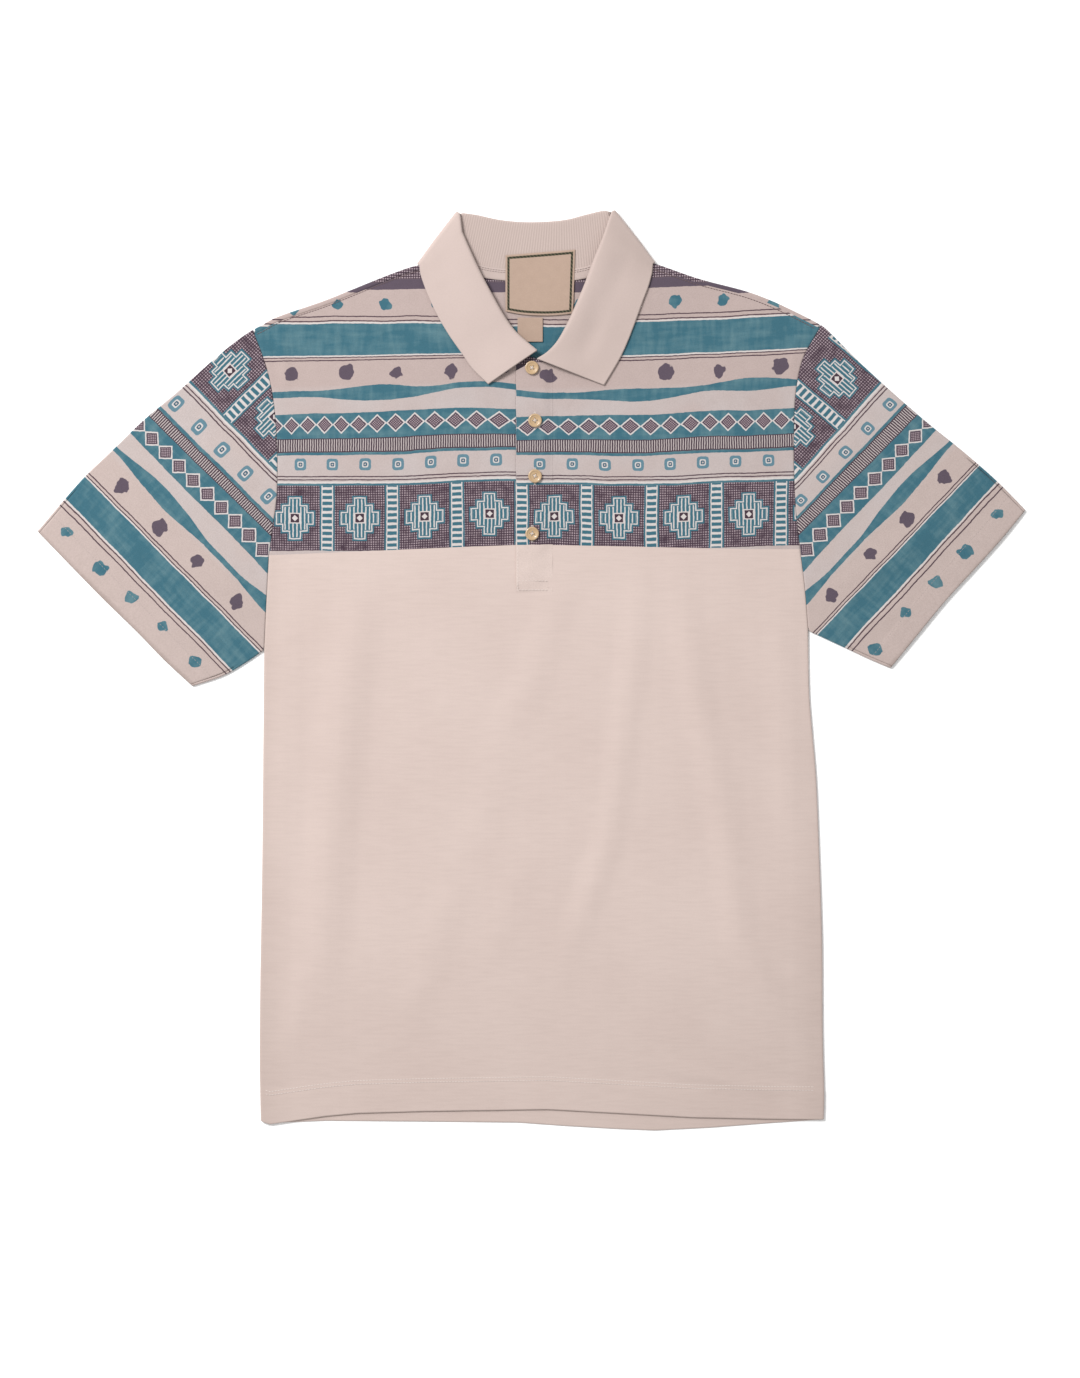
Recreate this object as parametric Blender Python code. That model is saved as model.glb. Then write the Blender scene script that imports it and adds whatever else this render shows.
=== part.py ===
"""Short-sleeved polo shirt, buttoned and laid flat on its back.

Lengths are in millimetres: x runs across the shirt to the viewer's right, y up from the
lowest point of the hem to the collar, z up from the table. The meshes are made in metres,
with the origin under the middle of the spread-out shirt.

Every cut piece is a wall of cloth of its own: the printed yoke and the plain body at the
front and back, two sleeves that are flattened tubes, a folded collar, and the bands,
buttons and labels at the neck. Neighbouring pieces stand SEAM apart.
"""
from math import cos, hypot, pi, radians, sin

import bpy
from mathutils import Vector

MM = 0.001

# Cloth and trimmings
CLOTH = 1.2          # jersey body and sleeves
COLLAR_CLOTH = 1.8   # rib-knit collar
UNDER_BAND = 1.0     # front band that lies underneath
OVER_BAND = 1.2      # front band on top
LABEL_CLOTH = 0.6
SEAM = 0.3           # between pieces that are sewn to each other or lie on each other
SLEEVE_SEAM = 0.5    # between the two layers of a sleeve
NECK_SEAM = 0.6      # between the collar and the body, where both edges curve
LEAF_SEAM = 0.9      # between the collar's two leaves at the front
NAPE_SEAM = 0.5      # between the collar's two leaves at the nape
LEAF_DROP = 0.9      # how far the free edge sinks to the cloth under it

BUTTON_RADIUS = 6.0
BUTTON_RIM = 2.2     # full height, at the rim
BUTTON_DISH = 1.5    # height inside the rim
BUTTON_SIDES = 20

# How far the cloth lifts
NECK_LIFT = 2.2      # front over back inside the neck, where labels and seams lie between
PUFF = 1.1           # air left between front and back of the body
SLEEVE_PUFF = 1.3
END_LIFT = CLOTH + OVER_BAND + 2 * SEAM        # collar ends lie on the front band
BUTTON_SEAT = CLOTH + OVER_BAND + 2 * SEAM     # buttons lie on the front band
SHOULDER_WRAP = 4.2  # width of the back cloth that comes over the shoulder to the seam

# Steps of the grids
HEM_STEPS = 14       # hem to underarm
UNDERARM_STEPS = 4   # underarm to the seam under the print
ARM_STEPS = 10       # that seam to the shoulder
SHOULDER_STEPS = 9
WING_STEPS = 11      # along the neck, from the collar's front end to the shoulder
NAPE_STEPS = 14      # along the neck at the back
FRONT_STEPS = 18     # across the plain front
BACK_STEPS = 10      # across the plain back
BAND_STEPS = 2
SLEEVE_STEPS = 9     # cuff to armhole
STAND_STEPS = 3      # neck seam to the collar's fold
BEND_STEPS = 4       # around the fold
LEAF_STEPS = 5       # fold to the free edge
LABEL_ROWS = 4
ROLL_ANGLES = (60, 30, 0, -30, -60)    # where the cloth turns over an edge

# Outlines: x, y
SIDE_LEFT = [(-238, 8.5), (-239, 62), (-238.5, 130), (-237, 220), (-236.2, 300), (-235.4, 387), (-235.1, 424)]
UNDERARM_LEFT = [(-235.1, 424), (-233.4, 461), (-231, 505.6)]
ARMHOLE_LEFT = [(-231, 505.6), (-226.6, 531.5), (-220.4, 554.5), (-217.8, 575), (-218.2, 600),
                (-219.8, 633), (-224.2, 660), (-229.2, 681), (-236.3, 704)]
SIDE_RIGHT = [(257, 9.7), (257.4, 35), (256.1, 88), (255.6, 167), (253, 246), (250.4, 308),
              (246.8, 352), (244.2, 387), (243.3, 441)]
UNDERARM_RIGHT = [(243.3, 441), (240.6, 475), (236.3, 511)]
ARMHOLE_RIGHT = [(236.3, 511), (232.6, 545.6), (231, 580), (231, 616), (231.9, 642), (235, 665),
                 (240.7, 683), (253.5, 705.5)]
SHOULDER_LEFT = [(-236.3, 708.5), (-223, 715.5), (-184.4, 728.8), (-159.7, 738.6), (-134.2, 748.8),
                 (-107.8, 758.4), (-92, 762.0), (-80.8, 767.2)]
SHOULDER_RIGHT = [(87.6, 768.4), (98, 763.8), (111.3, 761.0), (146.5, 749), (187, 738.4), (212.5, 729),
                  (239.8, 716), (253.5, 708.8)]
PRINT_SEAM = [(-231, 505.6), (-138.6, 509.5), (-62.9, 512.8), (-14.5, 514.6), (17.2, 514.6), (62, 513.8),
              (106.9, 512.8), (189.6, 511), (236.3, 511)]
BACK_SEAM = [(-231, 505.6), (236.3, 511)]
HEM_FRONT = [(-238, 8.5), (-231, 5.4), (-202, 9.7), (-180.4, 12.8), (-153.6, 15.3), (-96.4, 17), (14.5, 18.7),
             (92, 14.4), (142, 11.6), (210, 10.2), (257, 9.7)]
HEM_BACK = [(-238, 8.5), (-231, 6.4), (-180.8, 8.6), (-96.4, 7.9), (-12, 7), (30, 4), (74.4, 1.4), (108.7, 0),
            (158.8, 2.6), (210, 6.6), (257, 9.7)]
CUFF_LEFT = [(-297.9, 390.7), (-322.5, 413.6), (-347.2, 439), (-375.3, 466.4), (-402, 493.6), (-434.3, 527)]
SLEEVE_TOP_LEFT = [(-434.3, 527), (-396.4, 571), (-369.2, 597.4), (-341.9, 623.8), (-310.2, 650.4),
                   (-281.2, 676.4), (-253, 699.4), (-237.4, 708.4)]
SLEEVE_UNDER_LEFT = [(-297.9, 390.7), (-271.5, 399.6), (-251.2, 411.5), (-236.2, 422.0)]
CUFF_RIGHT = [(315.5, 406.6), (341.9, 439), (363.9, 465.8), (388.5, 492.6), (412.3, 519), (434.3, 545.6)]
SLEEVE_TOP_RIGHT = [(434.3, 545.6), (408.8, 571.4), (378.8, 597.6), (346.3, 623.8), (315.5, 650.6),
                    (287.3, 676.6), (263, 701), (254.4, 708.6)]
SLEEVE_UNDER_RIGHT = [(315.5, 406.6), (297.9, 414), (273.2, 425.6), (244.4, 439.0)]
BAND_LEFT, BAND_RIGHT, BAND_FOOT = -13.6, 17.2, 473.4
UNDER_BAND_TOP = [(BAND_LEFT, 684), (-6, 681.6), (2, 679), (10, 676), (BAND_RIGHT, 672)]
OVER_BAND_TOP = [(BAND_LEFT, 667.5), (-7, 671), (1, 675.6), (9, 675.2), (BAND_RIGHT, 674.6)]

# Collar, seen from above. A is the seam at the neck, F the fold at the top, B the free edge.
#               ax     ay     fx     fy     bx     by
WING_LEFT = [(-1.5, 682.0, 5.3, 685.5, -37.9, 656.2),
             (-12.8, 685.0, -4.8, 693.9, -51.9, 670.0),
             (-27.7, 692.0, -15.0, 703.6, -60.4, 682.4),
             (-42.7, 703.0, -25.1, 718.1, -71.3, 697.8),
             (-55.9, 718.0, -35.2, 736.1, -81.6, 715.0),
             (-66.4, 736.5, -44.4, 753.5, -89.8, 732.3),
             (-72.6, 752.5, -53.7, 773.5, -94.6, 744.6),
             (-75.2, 763.0, -61.0, 790.2, -97.2, 752.6)]
ROLL_LEFT = (-75.2, 770.6, -63.6, 803.6, -97.6, 759.8)
NAPE = [(-72.0, 764.8, -59.6, 806.6, -94.2, 753.4),
        (-57.6, 755.9, -47.1, 804.8, -77.9, 745.2),
        (-40.0, 750.6, -28.6, 800.8, -50.6, 741.4),
        (-17.2, 748.0, -8.4, 798.8, -20.7, 739.6),
        (7.5, 747.1, 11.9, 799.0, 9.2, 739.2),
        (32.1, 748.0, 30.4, 800.8, 38.3, 740.4),
        (51.5, 751.5, 46.2, 804.8, 67.3, 742.6),
        (65.6, 758.0, 59.4, 808.0, 88.8, 747.4),
        (76.8, 765.6, 65.0, 808.6, 100.6, 753.8)]
ROLL_RIGHT = (81.8, 772.0, 71.0, 805.0, 105.8, 761.0)
WING_RIGHT = [(81.8, 764.6, 62.4, 784.1, 105.8, 753.6),
              (78.4, 750.6, 54.1, 763.8, 102.5, 741.8),
              (70.6, 732.2, 46.6, 743.6, 97.2, 727.8),
              (60.6, 713.7, 39.2, 726.0, 91.1, 711.0),
              (48.6, 698.4, 31.2, 708.8, 84.5, 693.9),
              (35.0, 686.6, 22.4, 693.4, 78.3, 680.2),
              (21.4, 680.4, 13.6, 683.8, 71.6, 668.4),
              (11.6, 678.6, 4.4, 677.6, 63.7, 655.3)]
NAPE_AT = (5, 763)       # middle of the rounded box that the collar's hidden leaf fills
NAPE_HALF = 80
NAPE_ROUND = 27
THROAT_AT = (3, 738)     # middle of the neck opening
THROAT_HALF = (42, 30)
BAND_TOP_AT = (2, 668)   # where the collar's ends rest on the band

# Large soft folds of the front: x and y of both ends, half width, height
FOLDS = [(-158, 500, -186, 190, 20, 1.5),
         (104, 490, 84, 290, 15, 1.0),
         (138, 490, 206, 120, 17, 1.4),
         (-204, 120, -224, 40, 16, 1.2),
         (188, 150, 236, 44, 12, 1.5)]

BUTTONS = [(0.4, 670.2), (3.1, 623.9), (3.1, 575.1), (0.6, 524.5)]
NECK_LABEL_FOOT = [(-22.7, 719.8), (-7.5, 717.2), (7.9, 716.3), (22.3, 716.6), (36.5, 718.1)]
NECK_LABEL_HEAD = [(-22.7, 769.1), (-7.5, 770.3), (7.9, 771.5), (23, 772.7), (38.3, 774)]
SIZE_LABEL_FOOT = [(-12.1, 693.4), (-1.1, 693.4), (9.8, 693.4)]
SIZE_LABEL_HEAD = [(-12.1, 714.4), (-1.1, 714.4), (9.8, 714.4)]

# Colours and finish, from the photograph
PRINT_COLOUR = (0.30, 0.36, 0.40)
PLAIN_COLOUR = (0.74, 0.61, 0.55)
COLLAR_COLOUR = (0.71, 0.58, 0.53)
BUTTON_COLOUR = (0.63, 0.46, 0.28)
LABEL_COLOUR = (0.50, 0.37, 0.27)
CLOTH_ROUGHNESS = 0.9
BUTTON_ROUGHNESS = 0.35

LEAF = COLLAR_CLOTH + NAPE_SEAM  # height of the collar's hidden leaf with the space over it
X_MIDDLE = (CUFF_LEFT[-1][0] + CUFF_RIGHT[-1][0]) / 2
LENGTH = 808.68                 # hem to the collar's highest point
Y_MIDDLE = LENGTH / 2


def smooth(value):
    """0 to 1 with soft ends."""
    value = min(max(value, 0.0), 1.0)
    return value * value * (3 - 2 * value)


def spline(rows, steps):
    """steps + 1 rows, evenly spaced along the Catmull-Rom curve through the given rows."""
    rows = [Vector(row) for row in rows]
    padded = [rows[0] * 2 - rows[1]] + rows + [rows[-1] * 2 - rows[-2]]
    fine = []
    for k in range(len(rows) - 1):
        p0, p1, p2, p3 = padded[k:k + 4]
        for part in range(12):
            t = part / 12
            fine.append(0.5 * (2 * p1 + (p2 - p0) * t + (2 * p0 - 5 * p1 + 4 * p2 - p3) * t * t
                               + (3 * p1 - p0 - 3 * p2 + p3) * t * t * t))
    fine.append(rows[-1])
    reach = [0.0]
    for a, b in zip(fine, fine[1:]):
        reach.append(reach[-1] + (b - a).length)
    result, k = [], 0
    for step in range(steps + 1):
        goal = reach[-1] * step / steps
        while k < len(fine) - 2 and reach[k + 1] < goal:
            k += 1
        span = (goal - reach[k]) / (reach[k + 1] - reach[k])
        result.append(fine[k].lerp(fine[k + 1], min(span, 1.0)))
    return result


def at_x(rows, x):
    """y of a polyline whose x rises."""
    for (x0, y0), (x1, y1) in zip(rows, rows[1:]):
        if x <= x1:
            break
    share = min(max((x - x0) / (x1 - x0), 0.0), 1.0)
    return y0 + (y1 - y0) * share


def at_y(rows, y):
    """x of a polyline whose y rises."""
    return at_x([(row[1], row[0]) for row in rows], y)


def shifted(points, distance):
    """A polyline moved to its left-hand side."""
    moved = []
    for k, point in enumerate(points):
        along = (points[min(k + 1, len(points) - 1)] - points[max(k - 1, 0)]).normalized()
        moved.append(point + Vector((-along.y, along.x)) * distance)
    return moved


def coons(bottom, top, left, right):
    """Rows of points between four edges, from the bottom edge to the top edge."""
    rows = []
    for j, (start, end) in enumerate(zip(left, right)):
        v = j / (len(left) - 1)
        row = []
        for i, (low, high) in enumerate(zip(bottom, top)):
            u = i / (len(bottom) - 1)
            corners = (bottom[0] * (1 - u) + bottom[-1] * u) * (1 - v) + (top[0] * (1 - u) + top[-1] * u) * v
            row.append(low * (1 - v) + high * v + start * (1 - u) + end * u - corners)
        rows.append(row)
    return rows


# --- heights -------------------------------------------------------------------------------

def boxed(x, y, middle, half):
    """Distance from a point to a box lying flat, or 0 inside it."""
    return hypot(max(abs(x - middle[0]) - half[0], 0.0), max(abs(y - middle[1]) - half[1], 0.0))


def back_base(x, y):
    """Underside of the back: on the table, and over the collar's hidden leaf at the nape."""
    away = hypot(max(abs(x - NAPE_AT[0]) - NAPE_HALF, 0.0), max(NAPE_AT[1] - y, 0.0)) - NAPE_ROUND
    return LEAF * (1 - smooth((away - 4) / 56))


def fold_height(x, y):
    total = 0.0
    for x0, y0, x1, y1, half_width, height in FOLDS:
        run = Vector((x1 - x0, y1 - y0))
        offset = Vector((x - x0, y - y0))
        along = offset.dot(run) / run.length_squared
        across = abs(offset.cross(run)) / run.length
        ends = smooth((along + 0.1) / 0.35) * smooth((1.1 - along) / 0.35)
        total += height * ends * (1 - smooth(across / (1.6 * half_width)))
    return total


SIDE_LINE_LEFT = SIDE_LEFT + UNDERARM_LEFT[1:] + ARMHOLE_LEFT[1:]
SIDE_LINE_RIGHT = SIDE_RIGHT + UNDERARM_RIGHT[1:] + ARMHOLE_RIGHT[1:]
SHOULDER_LINE = SHOULDER_LEFT + SHOULDER_RIGHT


def front_base(x, y):
    """Underside of the front: on the back, with a little air between and its soft folds."""
    side = min(x - at_y(SIDE_LINE_LEFT, y), at_y(SIDE_LINE_RIGHT, y) - x)
    shoulder = at_x(SHOULDER_LINE, x) - y
    inside = smooth(side / 60) * smooth(shoulder / 90) * smooth((y - at_x(HEM_BACK, x)) / 90)
    throat = 1 - smooth(boxed(x, y, THROAT_AT, THROAT_HALF) / 70)
    folds = fold_height(x, y) * smooth(side / 14)
    return back_base(x, y) + CLOTH + SEAM + NECK_LIFT * throat + PUFF * inside * (1 - throat) + folds


def collar_base(x, y):
    """Underside of the collar's inner leaf at the front, lifted where its ends lie on the band."""
    away = hypot(x - BAND_TOP_AT[0], y - BAND_TOP_AT[1])
    return front_base(x, y) + END_LIFT * (1 - smooth((away - 14) / 38))


# --- solids --------------------------------------------------------------------------------

def material(name, colour, roughness):
    made = bpy.data.materials.new(name)
    made.use_nodes = True
    shader = made.node_tree.nodes["Principled BSDF"]
    shader.inputs["Base Color"].default_value = (*colour, 1)
    shader.inputs["Roughness"].default_value = roughness
    made.diffuse_color = (*colour, 1)
    return made


def solid(name, points, faces, colour):
    """An object from points in millimetres and the faces between them."""
    used = sorted({k for face in faces for k in face})
    place = {k: n for n, k in enumerate(used)}
    mesh = bpy.data.meshes.new(name)
    mesh.from_pydata([((points[k].x - X_MIDDLE) * MM, (points[k].y - Y_MIDDLE) * MM, points[k].z * MM)
                      for k in used], [], [[place[k] for k in face] for face in faces])
    mesh.materials.append(colour)
    mesh.shade_smooth()
    mesh.set_sharp_from_angle(angle=radians(40))
    made = bpy.data.objects.new(name, mesh)
    bpy.context.collection.objects.link(made)


def wall(name, middle, thickness, colour, ring=False, keep=None):
    """A closed wall of cloth around rows of points that lie in its middle.

    A ring's rows close on themselves. keep(j, i) says which cells of the grid are cloth.
    """
    count, width = len(middle), len(middle[0])
    cells = width if ring else width - 1

    def bend(before, point, after):
        """Direction of a line through three points."""
        return (after - point).normalized() + (point - before).normalized()

    outer, inner = [], []
    for j in range(count):
        for i in range(width):
            before, after = ((i - 1) % width, (i + 1) % width) if ring else (max(i - 1, 0), min(i + 1, width - 1))
            across = bend(middle[j][before], middle[j][i], middle[j][after])
            along = bend(middle[max(j - 1, 0)][i], middle[j][i], middle[min(j + 1, count - 1)][i])
            normal = across.cross(along).normalized() * thickness / 2
            outer.append(middle[j][i] + normal)
            inner.append(middle[j][i] - normal)

    def corner(j, i):
        return j * width + i % width

    base = len(outer)
    kept = {(j, i) for j in range(count - 1) for i in range(cells) if keep is None or keep(j, i)}
    faces = []
    for j, i in sorted(kept):
        a, b, c, d = corner(j, i), corner(j, i + 1), corner(j + 1, i + 1), corner(j + 1, i)
        faces.append((a, b, c, d))
        faces.append((base + d, base + c, base + b, base + a))
        before, after = ((i - 1) % cells, (i + 1) % cells) if ring else (i - 1, i + 1)
        for other, p, q in (((j - 1, i), a, b), ((j, after), b, c), ((j + 1, i), c, d), ((j, before), d, a)):
            if other not in kept:
                faces.append((q, p, base + p, base + q))
    solid(name, outer + inner, faces, colour)


def laid(plan, base, thickness):
    """Middle of a wall whose underside lies at the height base(x, y)."""
    return [[Vector((p.x, p.y, base(p.x, p.y) + thickness / 2)) for p in row] for row in plan]


def line(start, end, steps):
    return [start.lerp(end, k / steps) for k in range(steps + 1)]


def seam_part(seam, x_low, x_high, steps, side):
    """The seam under the print between two x, half a seam to one side of it."""
    spots = [x_low + (x_high - x_low) * k / steps for k in range(steps + 1)]
    return [Vector((x, at_x(seam, x) + side * SEAM / 2)) for x in spots]


def plain_body(name, hem, seam, base, steps, colour):
    """The body below the print, from hem to seam."""
    left = spline(SIDE_LEFT, HEM_STEPS) + spline(UNDERARM_LEFT, UNDERARM_STEPS)[1:]
    right = spline(SIDE_RIGHT, HEM_STEPS) + spline(UNDERARM_RIGHT, UNDERARM_STEPS)[1:]
    top = seam_part(seam, left[-1].x, right[-1].x, steps, -1)
    bottom = [Vector((p.x, at_x(hem, p.x))) for p in line(left[0], right[0], steps)]
    left[0], right[0], left[-1], right[-1] = bottom[0], bottom[-1], top[0], top[-1]
    wall(name, laid(coons(bottom, top, left, right), base, CLOTH), CLOTH, colour)


# --- collar --------------------------------------------------------------------------------

def collar_stations():
    """Rows of turn, A, F, B from the left front end around the nape to the right front end.

    turn is 90 where the folded leaf lies on the front and -90 where it lies under the back.
    """
    rows = [(90, row) for row in spline(WING_LEFT, WING_STEPS)]
    rows += [(turn, Vector(ROLL_LEFT)) for turn in ROLL_ANGLES]
    rows += [(-90, row) for row in spline(NAPE, NAPE_STEPS)]
    rows += [(turn, Vector(ROLL_RIGHT)) for turn in reversed(ROLL_ANGLES)]
    rows += [(90, row) for row in spline(WING_RIGHT, WING_STEPS)]
    return [(turn, Vector(row[0:2]), Vector(row[2:4]), Vector(row[4:6])) for turn, row in rows]


def leaf_point(spot, turn, outward, low, high):
    """A point of a leaf that rolls from the height low, under the neck, to high, over it."""
    middle, radius = (low + high) / 2, (high - low) / 2
    flat = spot + outward * radius * cos(radians(turn))
    return Vector((flat.x, flat.y, middle + radius * sin(radians(turn))))


def collar_row(turn, seam, fold, edge):
    """Across the collar: from the neck seam up to the fold and out to the free edge."""
    half = COLLAR_CLOTH / 2
    up = ((fold - seam).normalized() + (fold - edge).normalized()).normalized()
    outward = Vector((edge.y - fold.y, fold.x - edge.x)).normalized()
    if outward.x * (seam.x - NAPE_AT[0]) < 0:
        outward = -outward

    def stand(spot):
        return leaf_point(spot, turn, outward, back_base(*spot) + half, collar_base(*spot) + half)

    def leaf(spot, drop=0.0):
        return leaf_point(spot, turn, outward, back_base(*spot) - LEAF + half,
                          collar_base(*spot) + COLLAR_CLOTH + LEAF_SEAM + half - drop)

    radius = (leaf(fold) - stand(fold)).length / 2
    root = fold - up * (radius + half) if abs(turn) == 90 else fold
    low, high = stand(root), leaf(root)
    centre, arm = (low + high) / 2, (high - low) / 2
    row = [stand(seam.lerp(root, k / STAND_STEPS)) for k in range(STAND_STEPS)]
    for k in range(BEND_STEPS + 1):
        angle = pi * k / BEND_STEPS
        row.append(centre - arm * cos(angle) + Vector((up.x, up.y, 0)) * arm.length * sin(angle))
    for k in range(1, LEAF_STEPS + 1):
        share = k / LEAF_STEPS
        row.append(leaf(root.lerp(edge, share), LEAF_DROP * smooth((share - 0.55) / 0.45)))
    return row


def collar(colour):
    wall("collar", [collar_row(*station) for station in collar_stations()], COLLAR_CLOTH, colour)


def neck_lines():
    """Where the cloth meets the collar: front left, nape and front right, from left to right."""
    seams = [seam for turn, seam, fold, edge in collar_stations()]
    nape_from = WING_STEPS + 1 + len(ROLL_ANGLES)
    left = shifted(seams[:WING_STEPS + 1], NECK_SEAM)
    nape = shifted(seams[nape_from:nape_from + NAPE_STEPS + 1], -NECK_SEAM)
    right = shifted(seams[-WING_STEPS - 1:], NECK_SEAM)
    return left[::-1], nape, right[::-1]


# --- printed yoke --------------------------------------------------------------------------

def front_yoke_left(colour):
    neck = [p for p in neck_lines()[0] if p.x < BAND_LEFT - 1]
    shoulder = shifted(spline(SHOULDER_LEFT, SHOULDER_STEPS), -SHOULDER_WRAP - SEAM)
    edge_x = BAND_LEFT - SEAM / 2
    top = shoulder[:-1] + neck + [Vector((edge_x, at_x(neck_lines()[0], edge_x)))]
    arm = spline(ARMHOLE_LEFT, ARM_STEPS)
    bottom = seam_part(PRINT_SEAM, arm[0].x, edge_x, len(top) - 1, 1)
    arm[0], arm[-1] = bottom[0], top[0]
    plan = coons(bottom, top, arm, line(bottom[-1], top[-1], ARM_STEPS))
    wall("front_upper_left", laid(plan, front_base, CLOTH), CLOTH, colour)


def front_yoke_right(colour):
    neck = [p for p in neck_lines()[2] if p.x > BAND_RIGHT + 1]
    shoulder = shifted(spline(SHOULDER_RIGHT, SHOULDER_STEPS), -SHOULDER_WRAP - SEAM)
    edge_x = BAND_RIGHT + SEAM / 2
    top = [Vector((edge_x, at_x(neck_lines()[2], edge_x)))] + neck + shoulder[1:]
    arm = spline(ARMHOLE_RIGHT, ARM_STEPS)
    bottom = seam_part(PRINT_SEAM, edge_x, arm[0].x, len(top) - 1, 1)
    arm[0], arm[-1] = bottom[-1], top[-1]
    plan = coons(bottom, top, line(bottom[0], top[0], ARM_STEPS), arm)
    wall("front_upper_right", laid(plan, front_base, CLOTH), CLOTH, colour)


def shoulder_turn(silhouette):
    """Columns of points that take the back's cloth over the shoulder to the front."""
    inner = shifted(silhouette, -1)
    columns = []
    for edge, inside in zip(silhouette, inner):
        outward = edge - inside
        low = back_base(edge.x, edge.y) + CLOTH / 2
        high = front_base(edge.x, edge.y) + CLOTH / 2
        radius = (high - low) / 2
        root = edge - outward * (radius + CLOTH / 2)
        seam = edge - outward * SHOULDER_WRAP
        column = [leaf_point(root, turn, outward, low, high) for turn in (-90, *reversed(ROLL_ANGLES), 90)]
        column.append(Vector((seam.x, seam.y, high)))
        columns.append(column)
    return columns


def back_yoke(colour):
    """The printed back, with the strips that come over both shoulders."""
    left = shoulder_turn(spline(SHOULDER_LEFT, SHOULDER_STEPS))
    right = shoulder_turn(spline(SHOULDER_RIGHT, SHOULDER_STEPS))
    turned = len(left[0])
    nape = [[Vector((p.x, p.y + 2 * k, back_base(p.x, p.y) + CLOTH / 2)) for k in range(turned)]
            for p in neck_lines()[1]]
    columns = left + nape + right
    top = [column[0].xy for column in columns]
    arm_left, arm_right = spline(ARMHOLE_LEFT, ARM_STEPS), spline(ARMHOLE_RIGHT, ARM_STEPS)
    bottom = seam_part(BACK_SEAM, arm_left[0].x, arm_right[0].x, len(top) - 1, 1)
    arm_left[0], arm_left[-1], arm_right[0], arm_right[-1] = bottom[0], top[0], bottom[-1], top[-1]
    rows = laid(coons(bottom, top, arm_left, arm_right), back_base, CLOTH)[:-1]
    rows += [[column[k] for column in columns] for k in range(turned)]

    def keep(j, i):
        return j < ARM_STEPS or i < SHOULDER_STEPS or i >= len(columns) - 1 - SHOULDER_STEPS

    wall("back_upper", rows, CLOTH, colour, keep=keep)


# --- sleeves, front bands, labels and buttons --------------------------------------------------

def sleeve(name, cuff, over, under, armhole, side, colour):
    """A flattened tube, open at the cuff and the armhole. side is -1 at the left, 1 at the right."""
    steps = UNDERARM_STEPS + ARM_STEPS
    cuff_line = spline(cuff, steps)
    seam_line = shifted(spline(armhole[0], UNDERARM_STEPS) + spline(armhole[1], ARM_STEPS)[1:], -side * SEAM)
    under_line, over_line = spline(under, SLEEVE_STEPS), spline(over, SLEEVE_STEPS)
    seam_line[-1], seam_line[0] = over_line[-1], under_line[-1]
    plan = coons(cuff_line, seam_line, under_line, over_line)
    rows = []
    for j, flat in enumerate(plan):
        along = j / SLEEVE_STEPS
        radius = (CLOTH + SLEEVE_SEAM) / 2
        for end, nearest in ((0, 1), (-1, -2)):
            inward = (flat[nearest] - flat[end]).normalized()
            flat[end] = flat[end] + inward * (radius + CLOTH / 2)
        low = [Vector((p.x, p.y, CLOTH / 2)) for p in flat]
        high = []
        for i, p in enumerate(flat):
            across = i / steps
            air = SLEEVE_PUFF * smooth(4 * across * (1 - across)) * smooth(2.5 * (1 - along)) * smooth(0.4 + 2 * along)
            high.append(Vector((p.x, p.y, 1.5 * CLOTH + SLEEVE_SEAM + air)))
        top_out = (flat[-1] - flat[-2]).normalized()
        under_out = (flat[0] - flat[1]).normalized()
        turn_over = [leaf_point(flat[-1], turn, top_out, low[-1].z, high[-1].z) for turn in reversed(ROLL_ANGLES)]
        turn_under = [leaf_point(flat[0], turn, under_out, low[0].z, high[0].z) for turn in ROLL_ANGLES]
        rows.append(low + turn_over + high[::-1] + turn_under)
    wall(name, rows, CLOTH, colour, ring=True)


def band(name, foot, top, lift, thickness, rows, colour):
    """A front band between BAND_LEFT and BAND_RIGHT; foot and top give y for each x."""
    xs = [BAND_LEFT + SEAM / 2 + (BAND_RIGHT - BAND_LEFT - SEAM) * k / BAND_STEPS for k in range(BAND_STEPS + 1)]
    plan = [[Vector((x, foot(x) + (top(x) - foot(x)) * j / rows)) for x in xs] for j in range(rows + 1)]
    wall(name, laid(plan, lambda x, y: front_base(x, y) + lift, thickness), thickness, colour)


def label(name, low, high, lift, colour):
    """A label between two edges, on the inside of the back."""
    plan = [[a.lerp(b, j / LABEL_ROWS) for a, b in zip(low, high)] for j in range(LABEL_ROWS + 1)]
    wall(name, laid(plan, lambda x, y: back_base(x, y) + lift, LABEL_CLOTH), LABEL_CLOTH, colour)


def button(name, x, y, colour):
    """A turned disc with a rim, flat on the band."""
    profile = [(0, 0), (BUTTON_RADIUS - 0.8, 0), (BUTTON_RADIUS, 0.6), (BUTTON_RADIUS, BUTTON_RIM - 0.5),
               (BUTTON_RADIUS - 0.6, BUTTON_RIM), (BUTTON_RADIUS - 1.4, BUTTON_RIM),
               (BUTTON_RADIUS - 2.2, BUTTON_DISH), (0, BUTTON_DISH)]
    around = [2 * pi * k / BUTTON_SIDES for k in range(BUTTON_SIDES)]
    seat = max(front_base(x + BUTTON_RADIUS * cos(a), y + BUTTON_RADIUS * sin(a)) for a in around)
    seat += BUTTON_SEAT
    points = [Vector((x, y, seat)), Vector((x, y, seat + BUTTON_DISH))]
    for radius, height in profile[1:-1]:
        points += [Vector((x + radius * cos(a), y + radius * sin(a), seat + height)) for a in around]
    rings = len(profile) - 2
    faces = []
    for k in range(BUTTON_SIDES):
        n = (k + 1) % BUTTON_SIDES
        faces.append((0, 2 + n, 2 + k))
        for ring in range(rings - 1):
            low, high = 2 + ring * BUTTON_SIDES, 2 + (ring + 1) * BUTTON_SIDES
            faces.append((low + k, low + n, high + n, high + k))
        last = 2 + (rings - 1) * BUTTON_SIDES
        faces.append((1, last + k, last + n))
    solid(name, points, faces, colour)


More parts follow.
